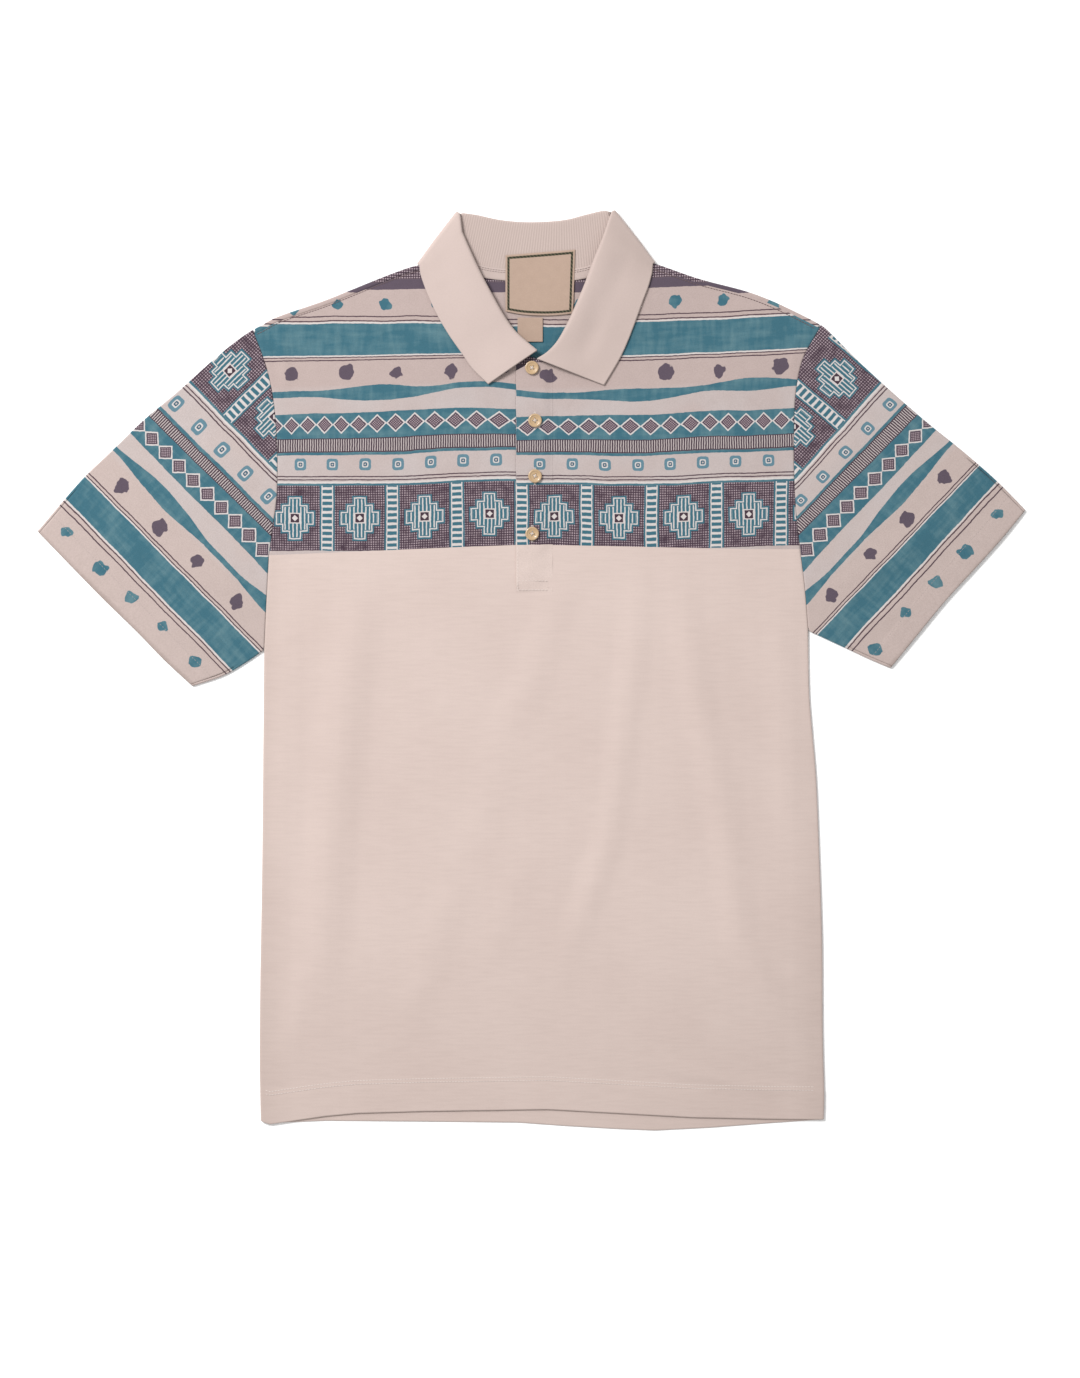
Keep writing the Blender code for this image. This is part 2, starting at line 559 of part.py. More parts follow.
for old in list(bpy.data.objects):
    bpy.data.objects.remove(old)

printed = material("printed_jersey", PRINT_COLOUR, CLOTH_ROUGHNESS)
plain = material("plain_jersey", PLAIN_COLOUR, CLOTH_ROUGHNESS)
rib = material("rib_knit", COLLAR_COLOUR, CLOTH_ROUGHNESS)
horn = material("horn_button", BUTTON_COLOUR, BUTTON_ROUGHNESS)
woven = material("woven_label", LABEL_COLOUR, CLOTH_ROUGHNESS)

back_yoke(printed)
plain_body("back_lower", HEM_BACK, BACK_SEAM, back_base, BACK_STEPS, plain)
front_yoke_left(printed)
front_yoke_right(printed)
plain_body("front_lower", HEM_FRONT, PRINT_SEAM, front_base, FRONT_STEPS, plain)
sleeve("sleeve_left", CUFF_LEFT, SLEEVE_TOP_LEFT, SLEEVE_UNDER_LEFT, (UNDERARM_LEFT, ARMHOLE_LEFT), -1, printed)
sleeve("sleeve_right", CUFF_RIGHT, SLEEVE_TOP_RIGHT, SLEEVE_UNDER_RIGHT, (UNDERARM_RIGHT, ARMHOLE_RIGHT), 1,
       printed)
band("placket_under", lambda x: at_x(PRINT_SEAM, x) + SEAM / 2, lambda x: at_x(UNDER_BAND_TOP, x), 0,
     UNDER_BAND, 9, printed)
band("placket_over", lambda x: BAND_FOOT, lambda x: at_x(OVER_BAND_TOP, x), CLOTH + SEAM, OVER_BAND, 12, printed)
collar(rib)
label("neck_label", [Vector(p) for p in NECK_LABEL_FOOT], [Vector(p) for p in NECK_LABEL_HEAD], LEAF, woven)
label("size_label", [Vector(p) for p in SIZE_LABEL_FOOT], [Vector(p) for p in SIZE_LABEL_HEAD], LEAF - SEAM, woven)
for number, (button_x, button_y) in enumerate(BUTTONS, 1):
    button(f"button_{number}", button_x, button_y, horn)
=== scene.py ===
"""A short-sleeved polo shirt, buttoned and laid flat on its back.

Lengths in the tables are millimetres: x runs to the viewer's right, y up from the lowest
point of the hem to the collar, z up from the table. Each piece of cloth is a thin closed
shell on its solid's form, with seams, stitches and soft folds, and its UV map holds the
place of each point on the print in metres.
"""
from math import cos, hypot, pi, radians, sin

import bpy
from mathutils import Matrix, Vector


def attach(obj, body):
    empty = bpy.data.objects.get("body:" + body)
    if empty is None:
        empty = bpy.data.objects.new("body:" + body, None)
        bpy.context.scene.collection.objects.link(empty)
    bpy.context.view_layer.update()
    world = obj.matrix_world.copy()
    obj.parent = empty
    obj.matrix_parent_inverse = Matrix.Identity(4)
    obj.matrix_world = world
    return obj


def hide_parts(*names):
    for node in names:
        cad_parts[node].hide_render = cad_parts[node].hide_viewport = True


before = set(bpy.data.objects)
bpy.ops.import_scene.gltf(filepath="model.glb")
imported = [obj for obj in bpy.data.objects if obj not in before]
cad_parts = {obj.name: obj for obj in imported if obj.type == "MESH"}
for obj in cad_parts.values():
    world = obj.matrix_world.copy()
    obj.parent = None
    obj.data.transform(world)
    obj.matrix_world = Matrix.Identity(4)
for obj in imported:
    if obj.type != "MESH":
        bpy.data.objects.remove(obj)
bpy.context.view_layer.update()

MM = 0.001

# --- the shirt's own sizes, as in its solids -------------------------------------------------

# Thicknesses of the cloths.
CLOTH = 1.2
COLLAR_CLOTH = 1.8
UNDER_BAND = 1.0
OVER_BAND = 1.2
LABEL_CLOTH = 0.6
TAPE_CLOTH = 0.4
# Air between two layers.
SEAM = 0.3
SLEEVE_SEAM = 0.5
LEAF_SEAM = 0.9
NAPE_SEAM = 0.5
LEAF = COLLAR_CLOTH + NAPE_SEAM
BAND_LIFT = CLOTH + OVER_BAND + 2 * SEAM    # from the front's underside to the band's top
BAND_GAP = 0.02
# How far cloth stands up from what it lies on, and how far from there it comes down to it.
NECK_LIFT, NECK_SLOPE = 2.2, 70
PUFF, PUFF_SIDE, PUFF_END = 1.1, 60, 90
SLEEVE_PUFF = 1.3
HEM_LIFT = 0.55
CUFF_LIFT = 0.7 * HEM_LIFT
LEAF_DROP = 0.9
FOLD_MARGIN = 14         # at the front's sides, where its folds die out
NAPE_SLOPE = (4, 56)
BAND_END_SLOPE = (14, 38)

BUTTON_RADIUS = 6.0
HOLE_AWAY, HOLE_RADIUS = 1.75, 0.62
SHOULDER_WRAP = 4.2      # of the back's cloth, over the shoulder to the seam at the front
HEM_DEPTH = 27.0         # of the turned-up hem
CUFF_DEPTH = 19.4
TAPE_WIDTH = 10.2
TAPE_ROWS = 6
ROLL_ANGLES = (75, 60, 45, 30, 15, 0, -15, -30, -45, -60, -75)
JOIN = 0.04              # what is left open between two sewn pieces
EDGE_STOPS = (0.35, 0.9, 1.8, 3.2)
TURN_STOPS = (0.6, 1.3)  # of the points beside a sleeve's turned edges
EDGE_ROUND = 1.5         # width of the cloth that thins out at a sewn edge
EDGE_BULGE, EDGE_DRAW = 0.25, 0.35
SHARP_SEAM, SHARP_BUTTON = radians(75), radians(35)

HEM_STEPS = 104
UNDERARM_STEPS = 22
ARM_STEPS = 66
SHOULDER_STEPS = 50
WING_STEPS = 64
NAPE_STEPS = 84
FRONT_STEPS = 126
BACK_STEPS = 84
BAND_STEPS, BAND_ROWS = 12, (40, 110)
SLEEVE_STEPS = 74
STAND_STEPS = 16
BEND_STEPS = 10
LEAF_STEPS = 22
LABEL_STEPS = 16

# Outlines and seams, as x and y. Left and right are the viewer's. The left armhole is the
# photo's, which lies up to 7 mm further out than the solids'.
SIDE_LEFT = [(-238, 8.5), (-239, 62), (-238.5, 130), (-237, 220), (-236.2, 300), (-235.4, 387),
             (-235.1, 424)]
UNDERARM_LEFT = [(-235.1, 424), (-233.4, 461), (-231, 505.6)]
ARMHOLE_LEFT = [(-231, 505.6), (-227.4, 531.5), (-224.2, 554.5), (-223.4, 575), (-223.7, 600),
                (-225.8, 633), (-230.2, 660), (-236.4, 681), (-243.8, 700.3)]
SIDE_RIGHT = [(257, 9.7), (257.4, 35), (256.1, 88), (255.6, 167), (253, 246), (250.4, 308),
              (246.8, 352), (244.2, 387), (243.3, 441)]
UNDERARM_RIGHT = [(243.3, 441), (240.6, 475), (236.3, 511)]
ARMHOLE_RIGHT = [(236.3, 511), (232.6, 545.6), (231, 580), (231, 616), (231.9, 642), (235, 665),
                 (240.7, 683), (253.5, 705.5)]
SHOULDER_LEFT = [(-243.8, 704.7), (-236.3, 708.5), (-223, 715.5), (-184.4, 728.8), (-159.7, 738.6),
                 (-134.2, 748.8), (-107.8, 758.4), (-92, 762.0), (-80.8, 767.2)]
SHOULDER_RIGHT = [(87.6, 768.4), (98, 763.8), (111.3, 761.0), (146.5, 749), (187, 738.4), (212.5, 729),
                  (239.8, 716), (253.5, 708.8)]
PRINT_SEAM = [(-231, 505.6), (-138.6, 509.5), (-62.9, 512.8), (-14.5, 514.6), (17.2, 514.6), (62, 513.8),
              (106.9, 512.8), (189.6, 511), (236.3, 511)]
BACK_SEAM = [(-231, 505.6), (236.3, 511)]
HEM_FRONT = [(-238, 8.5), (-231, 5.4), (-202, 9.7), (-180.4, 12.8), (-153.6, 15.3), (-96.4, 17), (14.5, 18.7),
             (92, 14.4), (142, 11.6), (210, 10.2), (257, 9.7)]
HEM_BACK = [(-238, 8.5), (-231, 6.4), (-180.8, 8.6), (-96.4, 7.9), (-12, 7), (30, 4), (74.4, 1.4), (108.7, 0),
            (158.8, 2.6), (210, 6.6), (257, 9.7)]
CUFF_LEFT = [(-297.9, 390.7), (-322.5, 413.6), (-347.2, 439), (-375.3, 466.4), (-402, 493.6), (-434.3, 527)]
SLEEVE_TOP_LEFT = [(-434.3, 527), (-396.4, 571), (-369.2, 597.4), (-341.9, 623.8), (-310.2, 650.4),
                   (-281.2, 676.4), (-260, 693.8), (-244.9, 704.4)]
SLEEVE_UNDER_LEFT = [(-297.9, 390.7), (-271.5, 399.6), (-251.2, 411.5), (-236.2, 422.0)]
CUFF_RIGHT = [(315.5, 406.6), (341.9, 439), (363.9, 465.8), (388.5, 492.6), (412.3, 519), (434.3, 545.6)]
SLEEVE_TOP_RIGHT = [(434.3, 545.6), (408.8, 571.4), (378.8, 597.6), (346.3, 623.8), (315.5, 650.6),
                    (287.3, 676.6), (263, 701), (254.4, 708.6)]
SLEEVE_UNDER_RIGHT = [(315.5, 406.6), (297.9, 414), (273.2, 425.6), (244.4, 439.0)]
BAND_LEFT, BAND_RIGHT, BAND_FOOT = -13.6, 17.2, 473.4
UNDER_BAND_TOP = [(BAND_LEFT, 684), (-6, 681.6), (2, 679), (10, 676), (BAND_RIGHT, 672)]
OVER_BAND_TOP = [(BAND_LEFT, 667.5), (-7, 671), (1, 675.6), (9, 675.2), (BAND_RIGHT, 674.6)]

# Collar, seen from above. A is the seam at the neck, F the fold at the top, B the free edge.
#               ax     ay     fx     fy     bx     by
WING_LEFT = [(-1.5, 682.0, 5.3, 685.5, -37.9, 656.2),
             (-12.8, 685.0, -4.8, 693.9, -51.9, 670.0),
             (-27.7, 692.0, -15.0, 703.6, -60.4, 682.4),
             (-42.7, 703.0, -25.1, 718.1, -71.3, 697.8),
             (-55.9, 718.0, -35.2, 736.1, -81.6, 715.0),
             (-66.4, 736.5, -44.4, 753.5, -89.8, 732.3),
             (-72.6, 752.5, -53.7, 773.5, -94.6, 744.6),
             (-75.2, 763.0, -61.0, 790.2, -97.2, 752.6)]
ROLL_LEFT = (-75.2, 770.6, -63.6, 803.6, -97.6, 759.8)
NAPE = [(-72.0, 764.8, -59.6, 806.6, -94.2, 753.4),
        (-57.6, 755.9, -47.1, 804.8, -77.9, 745.2),
        (-40.0, 750.6, -28.6, 800.8, -50.6, 741.4),
        (-17.2, 748.0, -8.4, 798.8, -20.7, 739.6),
        (7.5, 747.1, 11.9, 799.0, 9.2, 739.2),
        (32.1, 748.0, 30.4, 800.8, 38.3, 740.4),
        (51.5, 751.5, 46.2, 804.8, 67.3, 742.6),
        (65.6, 758.0, 59.4, 808.0, 88.8, 747.4),
        (76.8, 765.6, 65.0, 808.6, 100.6, 753.8)]
ROLL_RIGHT = (81.8, 772.0, 71.0, 805.0, 105.8, 761.0)
WING_RIGHT = [(81.8, 764.6, 62.4, 784.1, 105.8, 753.6),
              (78.4, 750.6, 54.1, 763.8, 102.5, 741.8),
              (70.6, 732.2, 46.6, 743.6, 97.2, 727.8),
              (60.6, 713.7, 39.2, 726.0, 91.1, 711.0),
              (48.6, 698.4, 31.2, 708.8, 84.5, 693.9),
              (35.0, 686.6, 22.4, 693.4, 78.3, 680.2),
              (21.4, 680.4, 13.6, 683.8, 71.6, 668.4),
              (11.6, 678.6, 4.4, 677.6, 63.7, 655.3)]
NAPE_AT = (5, 763)
NAPE_HALF = 80
NAPE_ROUND = 27
THROAT_AT = (3, 738)
THROAT_HALF = (42, 30)
BAND_TOP_AT = (2, 668)

BAND_OVER = 1.5          # how far the over band reaches past the under band's right edge
THIN_SIDE, THIN_FOOT, THINNEST = 8.5, 9, 0.06
THIN_PLAIN = 14          # more of its right side thins out on the plain body, below PLAIN_TOP
PLAIN_TOP = (500, 16)
UNDER_BAND_PRINT = 74    # how much further up the print the under band was cut
HEM_ROWS = (HEM_DEPTH - 1.6, HEM_DEPTH + 1.4)    # of stitches, above the hem
HEM_STITCHED = range(-234, 254, 4)
# Stitches at the placket's foot: two rows across it, and one up its left edge.
FOOT_ROWS = (483.1, 475.2)
FOOT_LEFT, FOOT_RIGHT, FOOT_SIDE_TOP = BAND_LEFT + 1.6, BAND_RIGHT - 1.8, 513

BUTTONS = [(0.4, 670.2), (3.1, 623.9), (3.1, 575.1), (0.6, 524.5)]
BUTTONS_TURNED = (8, 52, 20, 35)
NECK_LABEL_FOOT = [(-22.7, 719.8), (-7.5, 717.2), (7.9, 716.3), (22.3, 716.6), (36.5, 718.1)]
NECK_LABEL_HEAD = [(-22.7, 769.1), (-7.5, 770.3), (7.9, 771.5), (23, 772.7), (38.3, 774)]
SIZE_LABEL_FOOT = [(-12.1, 693.4), (-1.1, 693.4), (9.8, 693.4)]
SIZE_LABEL_HEAD = [(-12.1, 714.4), (-1.1, 714.4), (9.8, 714.4)]

X_MIDDLE = (CUFF_LEFT[-1][0] + CUFF_RIGHT[-1][0]) / 2
TOP = 808.68             # of the collar, above the lowest point of the hem
Y_MIDDLE = TOP / 2

# Soft folds of the front: the line each one follows, its half width and its height.
# A ridge has a height above 0, a trough below.
FOLDS = [([(-150, 500), (-163, 380), (-178, 240), (-188, 90)], 18, 1.9),
         ([(-213, 492), (-217, 330), (-220, 210)], 13, 0.8),
         ([(-128, 440), (-146, 290), (-156, 160)], 20, -0.5),
         ([(30, 492), (2, 400), (-22, 352)], 15, 1.0),
         ([(-20, 372), (-34, 300), (-62, 226)], 16, 0.55),
         ([(97, 490), (86, 390), (70, 262), (26, 140)], 12, 1.35),
         ([(128, 487), (146, 380), (170, 275), (183, 168), (228, 80)], 14, 1.9),
         ([(178, 450), (202, 310), (212, 210)], 14, -0.5),
         ([(217, 480), (224, 340), (226, 260)], 12, 0.9),
         ([(182, 142), (214, 98), (241, 60)], 8, -0.6),
         ([(-2, 245), (-40, 138)], 14, 0.6),
         ([(50, 260), (28, 175)], 13, -0.35),
         ([(-66, 226), (-108, 95)], 16, 0.75),
         ([(96, 230), (122, 110)], 20, 0.5),
         ([(-196, 150), (-216, 56)], 12, 0.6),
         ([(104, 57), (170, 43), (238, 34)], 6, 0.9),
         ([(-222, 706), (-214, 655)], 6, 0.9),
         ([(236, 704), (230, 652)], 6, 0.9),
         ([(-14, 492), (24, 486)], 5, 0.3),
         ([(-10, 478), (22, 474)], 4, -0.2)]
# The collar's leaf: a soft roll on its right wing and slight ones beside the peaks.
LEAF_FOLDS = [([(72, 790), (58, 757), (44, 722), (24, 689)], 15, 2.3),
              ([(60, 742), (54, 706), (46, 680)], 9, -0.6),
              ([(-66, 786), (-57, 757), (-42, 724), (-20, 696)], 14, 1.3),
              ([(-82, 742), (-62, 702)], 12, -0.35),
              ([(96, 750), (86, 712)], 10, 0.3)]
# Folds of the sleeves' upper layer.
SLEEVE_FOLDS = [([(-262, 470), (-318, 500), (-372, 532)], 13, 0.9),
                ([(-250, 500), (-300, 540), (-346, 586)], 13, -0.6),
                ([(-244, 560), (-290, 610)], 14, 0.8),
                ([(-275, 425), (-330, 452)], 9, 0.6),
                ([(266, 470), (318, 508), (378, 545)], 13, 0.9),
                ([(258, 508), (304, 556), (344, 596)], 13, -0.6),
                ([(252, 570), (292, 622)], 14, 0.8),
                ([(286, 440), (336, 466)], 9, 0.6)]


# --- lines and grids -----------------------------------------------------------------------

def clamped(value):
    return min(max(value, 0.0), 1.0)


def smooth(value):
    """0 to 1 with soft ends."""
    value = clamped(value)
    return value * value * (3 - 2 * value)


def reaches(points):
    """How far along the line each of its points lies."""
    reach = [0.0]
    for a, b in zip(points, points[1:]):
        reach.append(reach[-1] + (b - a).length)
    return reach


def run(points):
    """The same from 0 to 1."""
    reach = reaches(points)
    return [stop / reach[-1] for stop in reach]


def spline(rows, steps, ends=(True, True)):
    """Rows evenly spaced along the Catmull-Rom curve through the given rows, closer at the ends."""
    rows = [Vector(row) for row in rows]
    padded = [rows[0] * 2 - rows[1]] + rows + [rows[-1] * 2 - rows[-2]]
    fine = []
    for k in range(len(rows) - 1):
        p0, p1, p2, p3 = padded[k:k + 4]
        for t in (part / 12 for part in range(12)):
            fine.append(0.5 * (2 * p1 + (p2 - p0) * t + (2 * p0 - 5 * p1 + 4 * p2 - p3) * t * t
                               + (3 * p1 - p0 - 3 * p2 + p3) * t * t * t))
    fine.append(rows[-1])
    reach = reaches(fine)
    result, k = [], 0
    for goal in stops(reach[-1], steps, ends):
        while k < len(fine) - 2 and reach[k + 1] < goal:
            k += 1
        span = (goal - reach[k]) / (reach[k + 1] - reach[k])
        result.append(fine[k].lerp(fine[k + 1], min(span, 1.0)))
    return result


def stops(length, steps, ends=(True, True)):
    """Distances along a line: even steps, with EDGE_STOPS from each end that asks for them."""
    first = list(EDGE_STOPS) if ends[0] else []
    last = [length - stop for stop in reversed(EDGE_STOPS)] if ends[1] else []
    low, high = (EDGE_STOPS[-1] + 1 if ends[0] else 0), (length - EDGE_STOPS[-1] - 1 if ends[1] else length)
    middle = [low + (high - low) * k / steps for k in range(steps + 1)]
    return ([0.0] if first else []) + first + middle + last + ([length] if last else [])


def at_x(rows, x, known=0):
    """y of a polyline whose x rises, or with known=1 the other way round."""
    for a, b in zip(rows, rows[1:]):
        if x <= b[known]:
            break
    share = clamped((x - a[known]) / (b[known] - a[known]))
    return a[1 - known] + (b[1 - known] - a[1 - known]) * share


def at_y(rows, y):
    return at_x(rows, y, 1)


def shifted(points, distance):
    """A polyline moved to its left-hand side."""
    moved = []
    for k, point in enumerate(points):
        along = (points[min(k + 1, len(points) - 1)] - points[max(k - 1, 0)]).normalized()
        moved.append(point + Vector((-along.y, along.x)) * distance)
    return moved


def coons(bottom, top, left, right):
    """Rows of points between four edges, from the bottom edge to the top edge."""
    across, up = run(bottom), run(left)
    rows = []
    for v, start, end in zip(up, left, right):
        row = []
        for u, low, high in zip(across, bottom, top):
            corners = (bottom[0] * (1 - u) + bottom[-1] * u) * (1 - v) + (top[0] * (1 - u) + top[-1] * u) * v
            row.append(low * (1 - v) + high * v + start * (1 - u) + end * u - corners)
        rows.append(row)
    return rows


def line(start, end, steps):
    length = (end - start).length
    return [start.lerp(end, stop / length) for stop in stops(length, steps)]


def raised(point, z):
    return Vector((point.x, point.y, z))


# --- heights -------------------------------------------------------------------------------

def boxed(x, y, middle, half):
    """Distance from a point to a box lying flat, or 0 inside it."""
    return hypot(max(abs(x - middle[0]) - half[0], 0.0), max(abs(y - middle[1]) - half[1], 0.0))


def back_base(x, y):
    """Underside of the back: on the table, and over the collar's hidden leaf at the nape."""
    away = hypot(max(abs(x - NAPE_AT[0]) - NAPE_HALF, 0.0), max(NAPE_AT[1] - y, 0.0)) - NAPE_ROUND
    return LEAF * (1 - smooth((away - NAPE_SLOPE[0]) / NAPE_SLOPE[1]))


def fold_height(x, y, folds=FOLDS):
    """Sum of the folds at a point: each is highest on its line and dies out past its ends."""
    total = 0.0
    for path, half_width, height in folds:
        reach_out = 1.6 * half_width
        if not (min(p[0] for p in path) - reach_out < x < max(p[0] for p in path) + reach_out
                and min(p[1] for p in path) - reach_out < y < max(p[1] for p in path) + reach_out):
            continue
        lengths = [hypot(b[0] - a[0], b[1] - a[1]) for a, b in zip(path, path[1:])]
        whole = sum(lengths)
        best, reach, done = 1e9, 0.0, 0.0
        for (x0, y0), (x1, y1), length in zip(path, path[1:], lengths):
            share = ((x - x0) * (x1 - x0) + (y - y0) * (y1 - y0)) / length ** 2
            near = clamped(share)
            away = hypot(x - x0 - (x1 - x0) * near, y - y0 - (y1 - y0) * near)
            if away < best:
                best, reach = away, (done + length * share) / whole
            done += length
        if best < reach_out:
            ends = smooth((reach + 0.1) / 0.35) * smooth((1.1 - reach) / 0.35)
            total += height * ends * (1 - smooth(best / reach_out))
    return total


SIDE_LINE_LEFT = SIDE_LEFT + UNDERARM_LEFT[1:] + ARMHOLE_LEFT[1:]
SIDE_LINE_RIGHT = SIDE_RIGHT + UNDERARM_RIGHT[1:] + ARMHOLE_RIGHT[1:]
SHOULDER_LINE = SHOULDER_LEFT + SHOULDER_RIGHT


def front_base(x, y):
    """Underside of the front: on the back, with a little air between and its soft folds."""
    side = min(x - at_y(SIDE_LINE_LEFT, y), at_y(SIDE_LINE_RIGHT, y) - x)
    shoulder = at_x(SHOULDER_LINE, x) - y
    inside = (smooth(side / PUFF_SIDE) * smooth(shoulder / PUFF_END)
              * smooth((y - at_x(HEM_BACK, x)) / PUFF_END))
    throat = 1 - smooth(boxed(x, y, THROAT_AT, THROAT_HALF) / NECK_SLOPE)
    folds = fold_height(x, y) * smooth(side / FOLD_MARGIN)
    return back_base(x, y) + CLOTH + SEAM + NECK_LIFT * throat + PUFF * inside * (1 - throat) + folds


def band_folds(x, y):
    """Small puckers of the band between its buttons."""
    return 0.12 * sin(y / 6.1 + x / 17) * sin(y / 14.7) + 0.1 * sin(y / 3.3 - x / 9) * sin(y / 23.0 + 1)


def collar_base(x, y):
    """Underside of the collar's inner leaf at the front, lifted where its ends lie on the band."""
    away = hypot(x - BAND_TOP_AT[0], y - BAND_TOP_AT[1])
    return front_base(x, y) + BAND_LIFT * (1 - smooth((away - BAND_END_SLOPE[0]) / BAND_END_SLOPE[1]))


# --- where a point lies on the print -----------------------------------------------------------

# Heights of three lines of the print at the front: x, then y of the top of the teal band, of the
# top of the diamond band and of the double line. p is 0 at the first, 79.2 and 134.2 below it.
PRINT_P = (0.0, 79.2, 134.2)
#               x      teal   diamond double
PRINT_FRONT = [(-238, 708.8, 628.8, 574.6),
               (-165, 709.0, 630.5, 574.2),
               (-110, 709.3, 632.8, 575.1),
               (-67, 709.3, 635.4, 577.3),
               (-20, 709.3, 634.5, 578.8),
               (-13.5, 709.3, 634.5, 578.8),
               (-13.4, 709.3, 627.4, 575.5),
               (25, 709.3, 627.9, 576.0),
               (64, 709.3, 628.5, 574.6),
               (104, 710.5, 629.2, 574.1),
               (148, 712.4, 632.3, 576.4),
               (192, 714.6, 632.7, 578.2),
               (255, 717.2, 636.2, 579.5)]
PRINT_BACK = [(-260, 706.6, 627.4, 572.4),
              (260, 706.6, 627.4, 572.4)]
# On a sleeve: p, then the distance from the cuff at its upper and at its lower end.
#                      p      upper  lower
PRINT_SLEEVE_LEFT = [(-29, -3, -3), (-18, 16.5, 17.5), (0, 37.8, 34.8), (28.2, 63.1, 62.3),
                     (79.2, 118.4, 116.8), (101.2, 140.8, 142.5), (112.6, 150.5, 150.5),
                     (123.6, 165.2, 164.9), (134.2, 179.5, 178.6), (200, 252, 250)]
PRINT_SLEEVE_RIGHT = [(-29, -3, -3), (-18, 14.5, 22), (0, 35.7, 41.9), (28.2, 56.1, 66.5),
                      (79.2, 105.2, 114.0), (101.2, 126.4, 139.8), (112.6, 139.6, 149.2),
                      (123.6, 149.9, 158.0), (134.2, 161.9, 167.4), (200, 232, 236)]
PAST_CUFF = 0.3          # of the cuff's width: the print's slant stays the same beyond this


def between(marks, values, value):
    """Value on the second scale, straight on past both ends."""
    for k in range(1, len(marks) - 1):
        if (value < marks[k]) == (marks[0] < marks[-1]):
            break
    else:
        k = len(marks) - 1
    share = (value - marks[k - 1]) / (marks[k] - marks[k - 1])
    return values[k - 1] + (values[k] - values[k - 1]) * share


def print_body(table):
    """Across the body, and on the print's scale down from the top of the teal band."""
    columns = [[(row[0], row[n]) for row in table] for n in (1, 2, 3)]

    def place(x, y):
        teal, diamond, double = (at_x(column, x) for column in columns)
        if y > teal:
            return x, teal - y
        if y < double:
            return x, PRINT_P[2] + double - y
        return x, between((teal, diamond, double), PRINT_P, y)
    return place


def print_sleeve(cuff, table):
    """Across the cuff from its upper end, and on the print's scale away from the cuff."""
    low, high = Vector(cuff[0]), Vector(cuff[-1])
    along = (low - high).normalized()
    inward = Vector((-along.y, along.x)) if along.x > 0 else Vector((along.y, -along.x))
    width = (low - high).length

    def place(x, y):
        spot = Vector((x, y)) - high
        u, away = spot.dot(along), spot.dot(inward)
        share = min(max(u / width, -PAST_CUFF), 1 + PAST_CUFF)
        marks = [row[1] + (row[2] - row[1]) * share for row in table]
        return u, between(marks, [row[0] for row in table], away)
    return place


def flat_place(x, y):
    return x, y


# --- pieces --------------------------------------------------------------------------------

ROOT = "root"


def in_metres(point):
    return ((point.x - X_MIDDLE) * MM, (point.y - Y_MIDDLE) * MM, point.z * MM)


def new_mesh(name, points, faces):
    mesh = bpy.data.meshes.new(name)
    mesh.from_pydata([in_metres(point) for point in points], [], faces)
    return mesh


def in_scene(name, data):
    made = bpy.data.objects.new(name, data)
    bpy.context.collection.objects.link(made)
    return made


def link(mesh, name, material):
    mesh.materials.append(material)
    mesh.shade_smooth()
    made = in_scene(name, mesh)
    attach(made, ROOT)
    return made


def edge_share(rows, sewn):
    """Share of the full thickness at each point: less towards the sewn edges of a grid."""
    shares = []
    for j, row in enumerate(rows):
        line_shares = []
        for i, point in enumerate(row):
            near = {"left": row[0], "right": row[-1], "bottom": rows[0][i], "top": rows[-1][i]}
            away = min([(point.xy - near[side].xy).length for side in sewn], default=EDGE_ROUND)
            depth = 1 - min(away / EDGE_ROUND, 1.0)
            line_shares.append(max(0.1, (1 - depth * depth) ** 0.5))
        shares.append(line_shares)
    return shares


def laid(plan, base, thickness, sewn=(), flat_top=False):
    """Middle of a wall whose underside lies at base(x, y), and its thickness at each point.

    At the sewn edges the upper face comes down, or with flat_top the lower face goes up.
    """
    walls = [[thickness * share for share in row] for row in edge_share(plan, sewn)]
    middle = []
    for row, wall in zip(plan, walls):
        middle.append([raised(p, base(p.x, p.y) + (thickness - t / 2 if flat_top else t / 2))
                       for p, t in zip(row, wall)])
    return middle, walls


